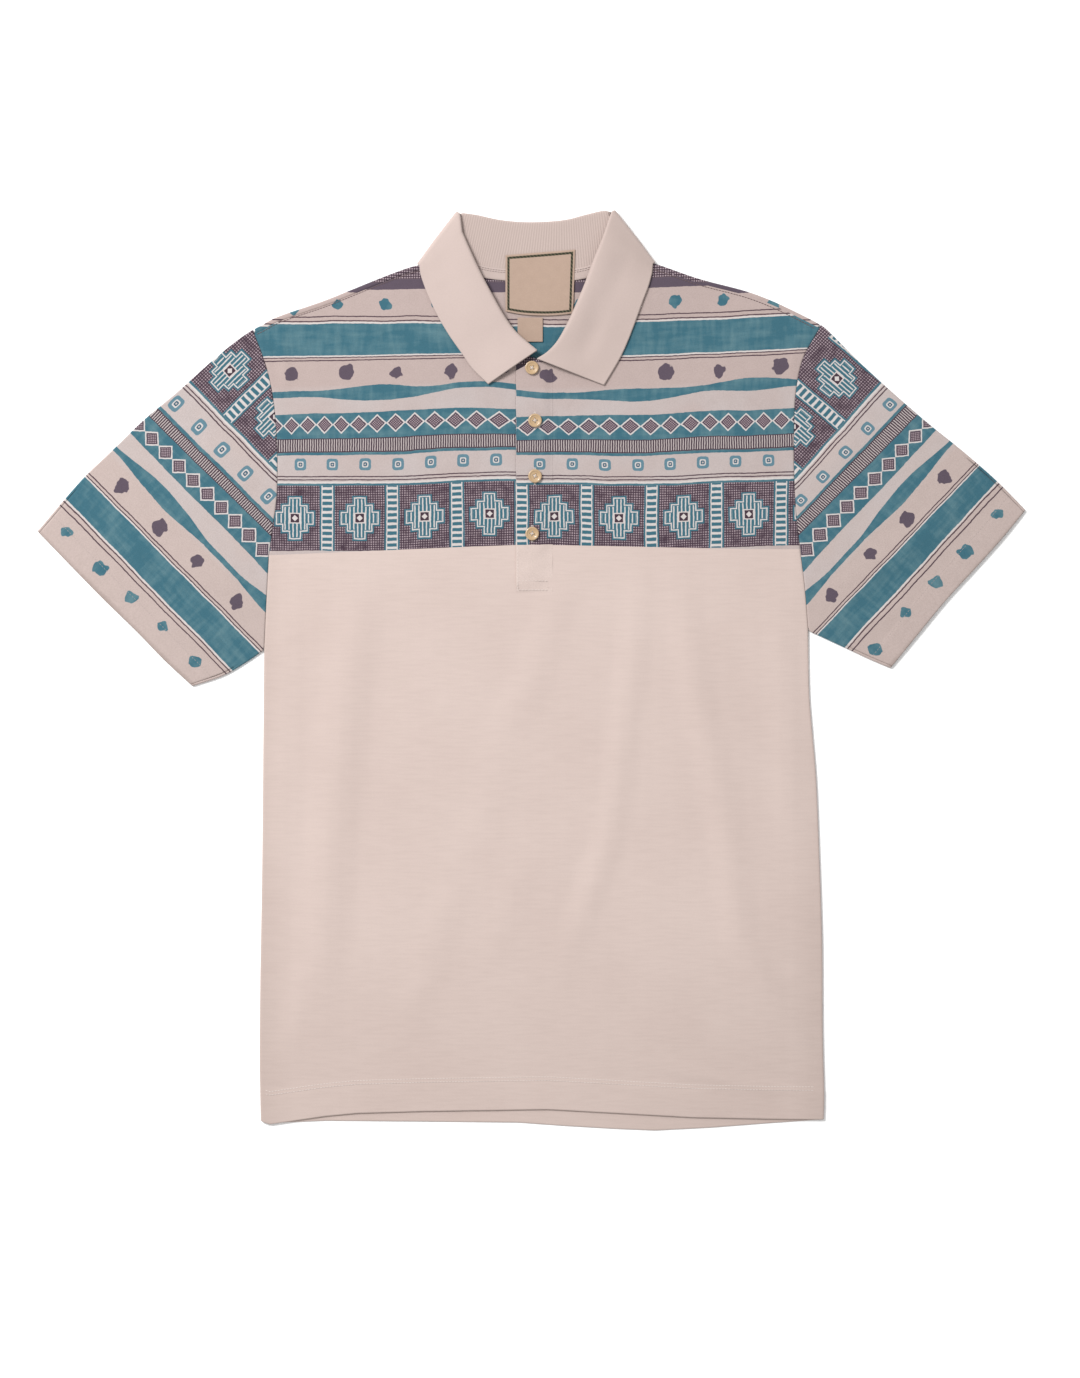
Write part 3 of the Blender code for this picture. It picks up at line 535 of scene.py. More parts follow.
def shell(name, node, middle, walls, material, places, ring=False, keep=None, flush=()):
    """A closed shell of cloth around rows of points that lie in its middle.

    walls gives its thickness and places its place on the cloth at each point. A ring's rows
    close on themselves. keep(j, i) says which cells of the grid are cloth. Open edges are
    rounded, apart from the flush ones.
    """
    count, width = len(middle), len(middle[0])
    cells = width if ring else width - 1

    def bend(before, point, after):
        return (after - point).normalized() + (point - before).normalized()

    outer, inner, normals = [], [], []
    for j in range(count):
        for i in range(width):
            before, after = max(i - 1, 0), min(i + 1, width - 1)
            if ring:
                before, after = (i - 1) % width, (i + 1) % width
            across = bend(middle[j][before], middle[j][i], middle[j][after])
            along = bend(middle[max(j - 1, 0)][i], middle[j][i], middle[min(j + 1, count - 1)][i])
            normal = across.cross(along).normalized()
            normals.append(normal)
            half = normal * walls[j][i] / 2
            outer.append(middle[j][i] + half)
            inner.append(middle[j][i] - half)

    def corner(j, i):
        return j * width + i % width

    def is_flush(k):
        j, i = divmod(k, width)
        return (("bottom" in flush and j == 0) or ("top" in flush and j == count - 1)
                or ("left" in flush and i == 0) or ("right" in flush and i == width - 1))

    base = len(outer)
    kept = {(j, i) for j in range(count - 1) for i in range(cells) if keep is None or keep(j, i)}
    faces, rims, outward = [], [], {}
    for j, i in sorted(kept):
        a, b, c, d = corner(j, i), corner(j, i + 1), corner(j + 1, i + 1), corner(j + 1, i)
        faces.append((a, b, c, d))
        faces.append((base + d, base + c, base + b, base + a))
        before, after = ((i - 1) % cells, (i + 1) % cells) if ring else (i - 1, i + 1)
        for other, p, q in (((j - 1, i), a, b), ((j, after), b, c), ((j + 1, i), c, d), ((j, before), d, a)):
            if other not in kept:
                rims.append((p, q))
                away = (outer[q] - outer[p]).cross(normals[p]).normalized()
                for end in (p, q):
                    outward[end] = outward.get(end, Vector()) + away
    points = outer + inner
    round_at = {}
    for end, away in outward.items():
        round_at[end] = len(points)
        core = (outer[end] + inner[end]) / 2
        if is_flush(end):
            points.append(core)
            continue
        points.append(core + away.normalized() * walls[end // width][end % width] * EDGE_BULGE)
        for side in (end, base + end):
            points[side] = points[side].lerp(core, EDGE_DRAW)
    for p, q in rims:
        faces.append((q, p, round_at[p], round_at[q]))
        faces.append((round_at[q], round_at[p], base + p, base + q))
    used = sorted({k for face in faces for k in face})
    number = {k: n for n, k in enumerate(used)}
    mesh = new_mesh(name, [points[k] for k in used], [[number[k] for k in face] for face in faces])
    back = {mid: end for end, mid in round_at.items()}
    spots = []
    for k in used:
        k = back.get(k, k) % base
        u, v = places[k // width][k % width]
        spots.append((u * MM, v * MM))
    layer = mesh.uv_layers.new(name="Cloth")
    loop_points = [0] * len(mesh.loops)
    mesh.loops.foreach_get("vertex_index", loop_points)
    layer.data.foreach_set("uv", [value for k in loop_points for value in spots[k]])
    made = link(mesh, name, material)
    if flush:
        mesh.set_sharp_from_angle(angle=SHARP_SEAM)
    if node:
        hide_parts(node)
    return made


def placed(rows, place):
    return [[place(p.x, p.y) for p in row] for row in rows]


def even(middle, thickness):
    return [[thickness] * len(row) for row in middle]


def seam_part(seam, like, x_low, x_high):
    """The line under the print between two x, divided as the line that it faces."""
    return [Vector((x, at_x(seam, x))) for x in (x_low + (x_high - x_low) * share for share in run(like))]


def hemmed(hem, base):
    """A height with the second layer of the hem under it."""
    def height(x, y):
        return base(x, y) + HEM_LIFT * (1 - smooth((y - at_x(hem, x) - HEM_DEPTH + 0.6) / 1.8))
    return height


def plain_body(name, hem, seam, base, steps, flat_top, material):
    """The plain front or back, from its hem to the line under the print."""
    first, last = (True, False), (False, True)
    left = spline(SIDE_LEFT, HEM_STEPS, first) + spline(UNDERARM_LEFT, UNDERARM_STEPS, last)[1:]
    right = spline(SIDE_RIGHT, HEM_STEPS, first) + spline(UNDERARM_RIGHT, UNDERARM_STEPS, last)[1:]
    bottom = [Vector((p.x, at_x(hem, p.x))) for p in line(left[0], right[0], steps)]
    top = seam_part(seam, bottom, left[-1].x, right[-1].x)
    left[0], right[0], left[-1], right[-1] = bottom[0], bottom[-1], top[0], top[-1]
    plan = coons(bottom, top, left, right)
    middle, walls = laid(plan, base, CLOTH, ("left", "right"), flat_top)
    return shell(name + "_cloth", name, middle, walls, material, placed(plan, flat_place), flush=("top",))


# --- collar --------------------------------------------------------------------------------

def collar_stations():
    """Rows of turn, A, F, B from the left front end around the nape to the right front end."""
    parts = [[(90, row) for row in spline(WING_LEFT, WING_STEPS, (True, False))],
             [(turn, Vector(ROLL_LEFT)) for turn in ROLL_ANGLES],
             [(-90, row) for row in spline(NAPE, NAPE_STEPS, (False, False))],
             [(turn, Vector(ROLL_RIGHT)) for turn in reversed(ROLL_ANGLES)],
             [(90, row) for row in spline(WING_RIGHT, WING_STEPS, (False, True))]]
    return [[(turn, Vector(row[0:2]), Vector(row[2:4]), Vector(row[4:6])) for turn, row in part]
            for part in parts]


def leaf_point(spot, turn, outward, low, high):
    """A point of a leaf that rolls from the height low, under the neck, to high, over it."""
    middle, radius = (low + high) / 2, (high - low) / 2
    flat = spot + outward * radius * cos(radians(turn))
    return raised(flat, middle + radius * sin(radians(turn)))


def collar_row(turn, seam, fold, edge):
    """Across the collar: from the neck seam up to the fold and out to the free edge."""
    half = COLLAR_CLOTH / 2
    up = ((fold - seam).normalized() + (fold - edge).normalized()).normalized()
    outward = Vector((edge.y - fold.y, fold.x - edge.x)).normalized()
    if outward.x * (seam.x - NAPE_AT[0]) < 0:
        outward = -outward

    def stand(spot):
        return leaf_point(spot, turn, outward, back_base(*spot) + half, collar_base(*spot) + half)

    def leaf(spot, drop=0.0):
        rolled = fold_height(*spot, LEAF_FOLDS) if turn == 90 else 0.0
        return leaf_point(spot, turn, outward, back_base(*spot) - LEAF + half,
                          collar_base(*spot) + COLLAR_CLOTH + LEAF_SEAM + half - drop + rolled)

    radius = (leaf(fold) - stand(fold)).length / 2
    root = fold - up * (radius + half) if abs(turn) == 90 else fold
    low, high = stand(root), leaf(root)
    centre, arm = (low + high) / 2, (high - low) / 2
    row = [stand(seam.lerp(root, k / STAND_STEPS)) for k in range(STAND_STEPS)]
    for k in range(BEND_STEPS + 1):
        angle = pi * k / BEND_STEPS
        row.append(centre - arm * cos(angle) + Vector((up.x, up.y, 0)) * arm.length * sin(angle))
    length = (edge - root).length
    for stop in stops(length, LEAF_STEPS, (False, True))[1:]:
        share = stop / length
        row.append(leaf(root.lerp(edge, share), LEAF_DROP * smooth((share - 0.55) / 0.45)))
    return row


def neck_lines():
    """Where the cloth meets the collar: front left, nape and front right, from left to right."""
    left, _, nape, _, right = [[station[1] for station in part] for part in collar_stations()]
    return shifted(left, JOIN)[::-1], shifted(nape, -JOIN), shifted(right, JOIN)[::-1]


def collar(material):
    """Stand, fold and leaf. On its cloth, p is measured from the fold."""
    rows = [collar_row(*station) for part in collar_stations() for station in part]
    fold = STAND_STEPS + BEND_STEPS // 2
    places, along = [], 0.0
    for j, row in enumerate(rows):
        if j:
            along += (row[fold] - rows[j - 1][fold]).length
        reach = reaches(row)
        places.append([(along, stop - reach[fold]) for stop in reach])
    return shell("collar_cloth", "collar", rows, even(rows, COLLAR_CLOTH), material, places)


# --- printed yoke --------------------------------------------------------------------------

def front_yoke(name, neck, shoulder, armhole, edge_x, side, material):
    """The printed front at one side of the placket. side is -1 at the left, 1 at the right."""
    inner = Vector((edge_x, at_x(neck, edge_x)))
    neck = [p for p in neck if side * (p.x - edge_x) > 0.4]
    seam = shifted(spline(shoulder, SHOULDER_STEPS, (True, False) if side < 0 else (False, True)),
                   -SHOULDER_WRAP - JOIN)
    beside = [inner + Vector((side * stop, 0)) for stop in EDGE_STOPS[:2]]
    if side < 0:
        top = seam[:-1] + neck[:-2] + beside[::-1] + [inner]
    else:
        top = [inner] + beside + neck[2:] + seam[1:]
    arm = spline(armhole, ARM_STEPS)
    ends = (arm[0].x, edge_x) if side < 0 else (edge_x, arm[0].x)
    bottom = seam_part(PRINT_SEAM, top, *ends)
    outer = 0 if side < 0 else -1
    arm[0], arm[-1] = bottom[outer], top[outer]
    inner_line = line(bottom[-1 - outer], top[-1 - outer], ARM_STEPS)
    plan = coons(bottom, top, *((arm, inner_line) if side < 0 else (inner_line, arm)))
    middle, walls = laid(plan, front_base, CLOTH, ("top", "left" if side < 0 else "right"))
    return shell(name + "_cloth", name, middle, walls, material, placed(plan, print_body(PRINT_FRONT)),
                 flush=("bottom",))


def shoulder_turn(silhouette):
    """Columns of points that take the back's cloth over the shoulder to the front."""
    inner = shifted(silhouette, -1)
    columns = []
    for edge, inside in zip(silhouette, inner):
        outward = edge - inside
        low = back_base(edge.x, edge.y) + CLOTH / 2
        high = front_base(edge.x, edge.y) + CLOTH / 2
        radius = (high - low) / 2
        root = edge - outward * (radius + CLOTH / 2)
        seam = edge - outward * SHOULDER_WRAP
        column = [leaf_point(root, turn, outward, low, high) for turn in (-90, *reversed(ROLL_ANGLES), 90)]
        column += [Vector((*root.lerp(seam, share), high - drop))
                   for share, drop in ((0.5, 0), (0.8, 0.1), (1, 0.45))]
        columns.append(column)
    return columns


def back_yoke(material):
    """The printed back, with the strips that come over both shoulders."""
    left = shoulder_turn(spline(SHOULDER_LEFT, SHOULDER_STEPS, (True, False)))
    right = shoulder_turn(spline(SHOULDER_RIGHT, SHOULDER_STEPS, (False, True)))
    turned = len(left[0])
    # The nape's columns only fill the grid between the shoulders: their cells aren't kept.
    nape = [[Vector((p.x, p.y + 2 * k, back_base(p.x, p.y) + CLOTH / 2)) for k in range(turned)]
            for p in neck_lines()[1]]
    columns = left + nape + right
    top = [column[0].xy for column in columns]
    arm_left, arm_right = spline(ARMHOLE_LEFT, ARM_STEPS), spline(ARMHOLE_RIGHT, ARM_STEPS)
    bottom = seam_part(BACK_SEAM, top, arm_left[0].x, arm_right[0].x)
    arm_left[0], arm_left[-1], arm_right[0], arm_right[-1] = bottom[0], top[0], bottom[-1], top[-1]
    plan = coons(bottom, top, arm_left, arm_right)
    middle, walls = laid(plan, back_base, CLOTH, ("left", "right"), flat_top=True)
    flat_rows = len(plan) - 1
    middle = middle[:-1] + [[column[k] for column in columns] for k in range(turned)]
    walls = walls[:-1] + [walls[-1]] * turned

    def keep(j, i):
        return j < flat_rows or i < len(left) - 1 or i >= len(columns) - len(right)

    return shell("back_upper_cloth", "back_upper", middle, walls, material,
                 placed(middle, print_body(PRINT_BACK)), keep=keep, flush=("bottom",))


# --- sleeves, front bands, labels and buttons ----------------------------------------------

def sleeve(name, cuff, over, under, armhole, side, place, material):
    """A flattened tube, open at the cuff and the armhole. side is -1 at the left, 1 at the right."""
    steps = UNDERARM_STEPS + ARM_STEPS
    cuff_line = spline(cuff, steps)
    seam_line = (spline(armhole[0], UNDERARM_STEPS, (True, False))
                 + spline(armhole[1], ARM_STEPS, (False, True))[1:])
    seam_line = shifted(seam_line, -side * JOIN)
    under_line, over_line = spline(under, SLEEVE_STEPS), spline(over, SLEEVE_STEPS)
    seam_line[-1], seam_line[0] = over_line[-1], under_line[-1]
    plan = coons(cuff_line, seam_line, under_line, over_line)
    shares = edge_share(plan, ("top",))
    radius = (CLOTH + SLEEVE_SEAM) / 2
    rows, walls = [], []
    for flat, row_shares, along in zip(plan, shares, (j / (len(plan) - 1) for j in range(len(plan)))):
        flat = list(flat)
        for end, step in ((0, 1), (-1, -1)):
            inward = (flat[end + 3 * step] - flat[end]).normalized()
            flat[end] = flat[end] + inward * (radius + CLOTH / 2)
            for n, away in enumerate(TURN_STOPS, 1):
                flat[end + n * step] = flat[end] + inward * away
        low, high = [], []
        for i, (p, share) in enumerate(zip(flat, row_shares)):
            middling = i / (len(flat) - 1) * (1 - i / (len(flat) - 1))
            air = SLEEVE_PUFF * smooth(4 * middling) * smooth(2.5 * (1 - along)) * smooth(0.4 + 2 * along)
            beyond_hem = smooth(((p - cuff_line[i]).length - CUFF_DEPTH + 1) / 2)
            hem = CUFF_LIFT * (1 - beyond_hem) * smooth(8 * middling)
            thin = CLOTH * (1 - share) / 2
            low.append(raised(p, CLOTH / 2 + thin))
            high.append(raised(p, 1.5 * CLOTH + SLEEVE_SEAM + air + hem
                               + fold_height(p.x, p.y, SLEEVE_FOLDS) - thin))
        top_out = (flat[-1] - flat[-2]).normalized()
        under_out = (flat[0] - flat[1]).normalized()
        turn_over = [leaf_point(flat[-1], turn, top_out, low[-1].z, high[-1].z)
                     for turn in reversed(ROLL_ANGLES)]
        turn_under = [leaf_point(flat[0], turn, under_out, low[0].z, high[0].z) for turn in ROLL_ANGLES]
        rows.append(low + turn_over + high[::-1] + turn_under)
        wall = [CLOTH * share for share in row_shares]
        walls.append(wall + [wall[-1]] * len(turn_over) + wall[::-1] + [wall[0]] * len(turn_under))
    made = shell(name + "_cloth", name, rows, walls, material, placed(rows, place), ring=True)
    count, turned = len(plan[0]), len(ROLL_ANGLES)
    upper = beside_edge(rows, range(count + turned + 2, 2 * count + turned - 2), CUFF_DEPTH, CLOTH / 2)
    lower = beside_edge(rows, range(2, count - 2), CUFF_DEPTH, 0.1 - CLOTH / 2)
    return made, upper, lower


def under_band(material):
    """The band beneath, with its own part of the print."""
    count = BAND_ROWS[0]
    xs = [BAND_LEFT + (BAND_RIGHT - BAND_LEFT) * k / BAND_STEPS for k in range(BAND_STEPS + 1)]
    low, high = [at_x(PRINT_SEAM, x) for x in xs], [at_x(UNDER_BAND_TOP, x) for x in xs]
    plan = [[Vector((x, foot + (head - foot) * j / count)) for x, foot, head in zip(xs, low, high)]
            for j in range(count + 1)]
    middle, walls = laid(plan, front_base, UNDER_BAND)
    places = [[(u, v - UNDER_BAND_PRINT) for u, v in row] for row in placed(plan, print_body(PRINT_FRONT))]
    return shell("placket_under_cloth", "placket_under", middle, walls, material, places)


def over_band(material):
    """The band on top. Its right edge and its foot, where it is sewn, thin out onto the front."""
    xs = stops(BAND_RIGHT - BAND_LEFT + BAND_OVER, BAND_STEPS)
    bottom = [Vector((BAND_LEFT + x, BAND_FOOT)) for x in xs]
    top = [Vector((p.x, at_x(OVER_BAND_TOP, p.x))) for p in bottom]
    plan = coons(bottom, top, line(bottom[0], top[0], BAND_ROWS[1]), line(bottom[-1], top[-1], BAND_ROWS[1]))
    middle, walls = [], []
    for row in plan:
        slope = THIN_SIDE + THIN_PLAIN * (1 - smooth((row[0].y - PLAIN_TOP[0]) / PLAIN_TOP[1]))
        wall = [OVER_BAND * max(THINNEST, smooth((row[-1] - p).length / slope)
                                * smooth((p - low).length / THIN_FOOT)) for p, low in zip(row, bottom)]
        walls.append(wall)
        middle.append([raised(p, front_base(p.x, p.y) + CLOTH + BAND_GAP + t / 2 + band_folds(p.x, p.y))
                       for p, t in zip(row, wall)])
    return shell("placket_over_cloth", "placket_over", middle, walls, material,
                 placed(plan, print_body(PRINT_FRONT)))


def band_top(x, y):
    return front_base(x, y) + CLOTH + BAND_GAP + OVER_BAND + band_folds(x, y)


def label(name, low, high, lift, material):
    """A label between two edges, on the inside of the back."""
    low, high = spline(low, LABEL_STEPS), spline(high, LABEL_STEPS)
    plan = coons(low, high, line(low[0], high[0], LABEL_STEPS), line(low[-1], high[-1], LABEL_STEPS))
    width, height = (low[-1] - low[0]).length, (high[0] - low[0]).length
    places = [[((u - 0.5) * width, (v - 0.5) * height) for u in run(low)]
              for v in run([row[0] for row in plan])]

    def base(x, y):
        return back_base(x, y) + lift + 0.25 * smooth((low[0].y + height * 0.5 - y) / height)

    middle, walls = laid(plan, base, LABEL_CLOTH)
    return shell(name + "_cloth", name, middle, walls, material, places)


def lathe(name, profile, spots, sides):
    """A mesh of the same turned solid at each of some spots. profile holds radius and height."""
    turns = [2 * pi * k / sides for k in range(sides)]
    points, faces = [], []
    for spot in spots:
        ends = len(points)
        points += [spot + Vector((0, 0, profile[end][1])) for end in (0, -1)]
        for radius, height in profile[1:-1]:
            points += [spot + Vector((radius * cos(a), radius * sin(a), height)) for a in turns]
        last = len(points) - sides
        for k in range(sides):
            n = (k + 1) % sides
            faces.append((ends, ends + 2 + n, ends + 2 + k))
            for low in range(ends + 2, last, sides):
                faces.append((low + k, low + n, low + sides + n, low + sides + k))
            faces.append((ends + 1, last + k, last + n))
    return new_mesh(name, points, faces)


# Radius and height of the button's outline, from under its middle round to its sunk face.
BUTTON_PROFILE = [(0, 0), (4.9, 0), (5.6, 0.25), (5.95, 0.8), (6.0, 1.3), (5.85, 1.85), (5.4, 2.15),
                  (4.9, 2.2), (4.45, 2.05), (4.1, 1.72), (3.7, 1.55), (0, 1.5)]
BUTTON_SIDES = 40


def hole_way(number, turned):
    """Direction from the button's middle to one of its holes."""
    angle = radians(45 + 90 * number + turned)
    return Vector((cos(angle), sin(angle), 0))


def button(name, x, y, turned, material):
    """A turned disc with a sunk middle and four holes, on the highest cloth round its rim."""
    around = [2 * pi * k / BUTTON_SIDES for k in range(BUTTON_SIDES)]
    seat = BAND_LIFT + max(front_base(x + BUTTON_RADIUS * cos(a), y + BUTTON_RADIUS * sin(a)) for a in around)
    middle = Vector((x, y, seat))
    drill = [(0, -1), (HOLE_RADIUS, -1), (HOLE_RADIUS, 4), (0, 4)]
    disc = in_scene("disc", lathe(name + "_disc", BUTTON_PROFILE, [middle], BUTTON_SIDES))
    holes = [middle + hole_way(number, turned) * HOLE_AWAY for number in range(4)]
    cutter = in_scene("drill", lathe(name + "_drill", drill, holes, 12))
    cut = disc.modifiers.new("holes", "BOOLEAN")
    cut.operation, cut.solver, cut.object = "DIFFERENCE", "EXACT", cutter
    mesh = bpy.data.meshes.new_from_object(disc.evaluated_get(bpy.context.evaluated_depsgraph_get()))
    mesh.name = name + "_turned"
    for thing in (disc, cutter):
        bpy.data.objects.remove(thing)
    made = link(mesh, name + "_turned", material)
    mesh.set_sharp_from_angle(angle=SHARP_BUTTON)
    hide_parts(name)
    return seat, made


# --- thread --------------------------------------------------------------------------------

def tube(path, radius, sides=6):
    """Points and faces of a closed round thread along a path, thin at both ends."""
    points, faces = [], []
    for k, spot in enumerate(path):
        along = (path[min(k + 1, len(path) - 1)] - path[max(k - 1, 0)]).normalized()
        side = along.cross(Vector((0, 0, 1)))
        side = side.normalized() if side.length > 0.01 else Vector((1, 0, 0))
        up = side.cross(along)
        thin = 0.45 if k in (0, len(path) - 1) else 1.0
        points += [spot + (side * cos(2 * pi * n / sides) + up * sin(2 * pi * n / sides)) * radius * thin
                   for n in range(sides)]
    for k in range(len(path) - 1):
        for n in range(sides):
            m = (n + 1) % sides
            faces.append((k * sides + n, k * sides + m, (k + 1) * sides + m, (k + 1) * sides + n))
    faces.append(tuple(reversed(range(sides))))
    faces.append(tuple((len(path) - 1) * sides + n for n in range(sides)))
    return points, faces


def joined(name, parts, material):
    """One piece of thread work from many closed parts."""
    points, faces = [], []
    for part_points, part_faces in parts:
        faces += [[len(points) + k for k in face] for face in part_faces]
        points += part_points
    made = link(new_mesh(name, points, faces), name, material)
    return made


def stitches(path, pitch=2.9, length=2.2, radius=0.2, face=1):
    """Short threads, one after another along a path on the cloth's face, sunk in at their ends."""
    reach, k, parts = reaches(path), 1, []
    for number in range(int(reach[-1] / pitch)):
        start = number * pitch + (pitch - length) / 2
        thread = []
        for share, sink in ((0.0, 0.16), (0.25, 0.0), (0.75, 0.0), (1.0, 0.16)):
            goal = start + length * share
            while k < len(reach) - 1 and reach[k] < goal:
                k += 1
            spot = path[k - 1].lerp(path[k], (goal - reach[k - 1]) / (reach[k] - reach[k - 1]))
            thread.append(spot + Vector((0, 0, face * (radius * 0.35 - sink))))
        parts.append(tube(thread, radius))
    return parts


def on_cloth(points, top):
    """A flat line, cut into short parts and laid on the height top(x, y)."""
    result = []
    for a, b in zip(points, points[1:]):
        parts = max(1, int((b - a).length / 4))
        result += [a.lerp(b, k / parts) for k in range(parts)]
    result.append(points[-1])
    return [raised(p, top(p.x, p.y)) for p in result]


def beside_edge(rows, columns, away, rise):
    """A line on the cloth at a distance from the first row of a grid, across some columns."""
    path = []
    for i in columns:
        reach = 0.0
        for low, high in zip(rows, rows[1:]):
            step = (high[i] - low[i]).length
            if reach + step >= away:
                path.append(low[i].lerp(high[i], (away - reach) / step) + Vector((0, 0, rise)))
                break
            reach += step
    return path


def buttonhole(x, y, top):
    """Close threads round a slit that runs along the band, and a bar at each of its ends."""
    reach, half, pitch = 7.2, 0.9, 0.55
    parts = []

    def thread(start, end, stops_and_drops, radius, sides):
        path = [start.lerp(end, share) for share, _ in stops_and_drops]
        parts.append(tube([raised(p, top(p.x, p.y) - drop) for p, (_, drop) in zip(path, stops_and_drops)],
                          radius, sides))

    for side in (-1, 1):
        for row_y in (y - reach + pitch * k for k in range(int(2 * reach / pitch) + 1)):
            thread(Vector((x + side * 0.15, row_y, 0)), Vector((x + side * (0.15 + half), row_y + 0.1, 0)),
                   ((0, 0.15), (0.3, -0.02), (0.7, -0.02), (1, 0.15)), 0.24, 5)
    for end_y in (y - reach, y + reach):
        thread(Vector((x - half, end_y, 0)), Vector((x + half, end_y, 0)),
               ((0, -0.02), (0.5, -0.02), (1, -0.02)), 0.3, 6)
    return parts


def button_threads(x, y, turned, seat):
    """Two threads that cross the button from hole to hole."""
    parts = []
    for number in range(2):
        out = hole_way(number, turned)
        half = ((-1.75, 0.7), (-1.7, 1.55), (-1.2, 1.85 + 0.25 * number))
        rows = (*half, (0, 1.95 + 0.35 * number), *((-reach, height) for reach, height in half[::-1]))
        path = [Vector((x, y, seat + height)) + out * reach for reach, height in rows]
        parts.append(tube(path, 0.33, 8))
    return parts


def neck_tape(material):
    """The tape that covers the neck seam inside the back, and the lines of its stitches."""
    stations = collar_stations()[2][4:-4]
    shares = [k / TAPE_ROWS for k in range(TAPE_ROWS + 1)]
    plan = [[seam + (fold - seam).normalized() * (TAPE_WIDTH * share - 1.4) for _, seam, fold, _ in stations]
            for share in shares]

    def base(x, y):
        return back_base(x, y) + COLLAR_CLOTH + 0.03

    middle, walls = laid(plan, base, TAPE_CLOTH)
    places = [[(i * 2.4, TAPE_WIDTH * share) for i in range(len(stations))] for share in shares]
    return shell("neck_tape", None, middle, walls, material, places), [
        on_cloth(plan[row][1:-1], lambda x, y: base(x, y) + TAPE_CLOTH) for row in (4, 5)]


# --- materials -----------------------------------------------------------------------------

CREAM = (201, 190, 188)
CREAM_WARM = (195, 176, 171)
# A lighter copy of the warm cream for the sleeves: painted light.
CREAM_SLEEVE_LIT = (201, 183, 177)
WHITE = (220, 212, 209)
TEAL = (63, 111, 127)
TEAL_PALE = (96, 134, 144)
TEAL_GREY = (101, 137, 152)
TEAL_DEEP = (55, 96, 116)
PURPLE = (97, 84, 97)
DARK = (70, 52, 65)
LINE = (82, 62, 72)
HOLE = (178, 160, 167)
PLAIN = (224, 205, 197)
PLAIN_SHADE = (216, 196, 188)
RIB = (210, 191, 184)
HORN = (206, 177, 139)
HORN_DARK = (186, 152, 112)
TAN = (202, 175, 157)
CHAIN = (118, 112, 86)
CHAIN_DARK = (50, 52, 42)
THREAD = (248, 236, 229)
THREAD_DULL = (198, 184, 180)
THREAD_DARK = (112, 90, 90)
LIGHT = 1.28             # how much brighter than 1 the scene lights a level white surface


def colour(rgb):
    """What a surface reflects to show an 8-bit sRGB colour in the scene's light."""
    return (*[((c / 255 + 0.055) / 1.055) ** 2.4 / LIGHT for c in rgb], 1)


def new_material(name, values):
    """A material, its node tree and its shader with some values set."""
    material = bpy.data.materials.new(name)
    material.use_nodes = True
    shader = material.node_tree.nodes["Principled BSDF"]
    for slot, value in values.items():
        shader.inputs[slot].default_value = value
    return material, material.node_tree, shader


def add_node(tree, kind, inputs=(), **settings):
    """A shader node with its settings, and what goes into its inputs: sockets or values."""
    made = tree.nodes.new("ShaderNode" + kind)
    for setting, value in settings.items():
        setattr(made, setting, value)
    for slot, value in dict(inputs).items():
        if isinstance(value, Field):
            value = value.socket
        if isinstance(value, bpy.types.NodeSocket):
            tree.links.new(value, made.inputs[slot])
        else:
            made.inputs[slot].default_value = value
    return made


def add_mix(tree, share, first, second, blend="MIX"):
    """The colour between two, or with MULTIPLY the first times the second where share is 1."""
    node = add_node(tree, "Mix", {0: share, 6: first, 7: second}, data_type="RGBA", blend_type=blend)
    return node.outputs[2]


class Field:
    """A number at each point of a surface, worked out by math nodes."""

    def __init__(self, tree, socket):
        self.tree, self.socket = tree, socket

    def math(self, operation, *others, clamp=False):
        node = add_node(self.tree, "Math", enumerate((self, *others)), operation=operation, use_clamp=clamp)
        return Field(self.tree, node.outputs[0])

    def __add__(self, other):
        return self.math("ADD", other)

    def __sub__(self, other):
        return self.math("SUBTRACT", other)

    def __mul__(self, other):
        return self.math("MULTIPLY", other)

    def __abs__(self):
        return self.math("ABSOLUTE")

    def wave(self, length, middle=0.0):
        """Cosine with a crest at middle."""
        return ((self - middle) * (2 * pi / length)).math("COSINE")

    def wrap(self, pitch, middle=0.0):
        """Distance from the nearest of a row of places, pitch apart."""
        return (self - middle).math("WRAP", pitch / 2, -pitch / 2)

    def cell(self, pitch, middle=0.0):
        """Number of the nearest of those places."""
        return ((self - middle) * (1 / pitch) + 0.5).math("FLOOR")

    def above(self, limit, soft=0.3):
        """1 above the limit and 0 below it, over a soft edge."""
        return self.math("MULTIPLY_ADD", 1 / soft, 0.5 - limit / soft, clamp=True)

    def below(self, limit, soft=0.3):
        return self.math("MULTIPLY_ADD", -1 / soft, 0.5 + limit / soft, clamp=True)

    def near(self, middle, half, soft=0.3):
        return abs(self - middle).below(half, soft)

    def bump(self, middle, half):
        """A soft hump, 1 at the middle and 0 beyond half."""
        share = abs(self - middle).math("MULTIPLY_ADD", -1 / half, 1.0, clamp=True)
        return share * share * (share * -2 + 3)


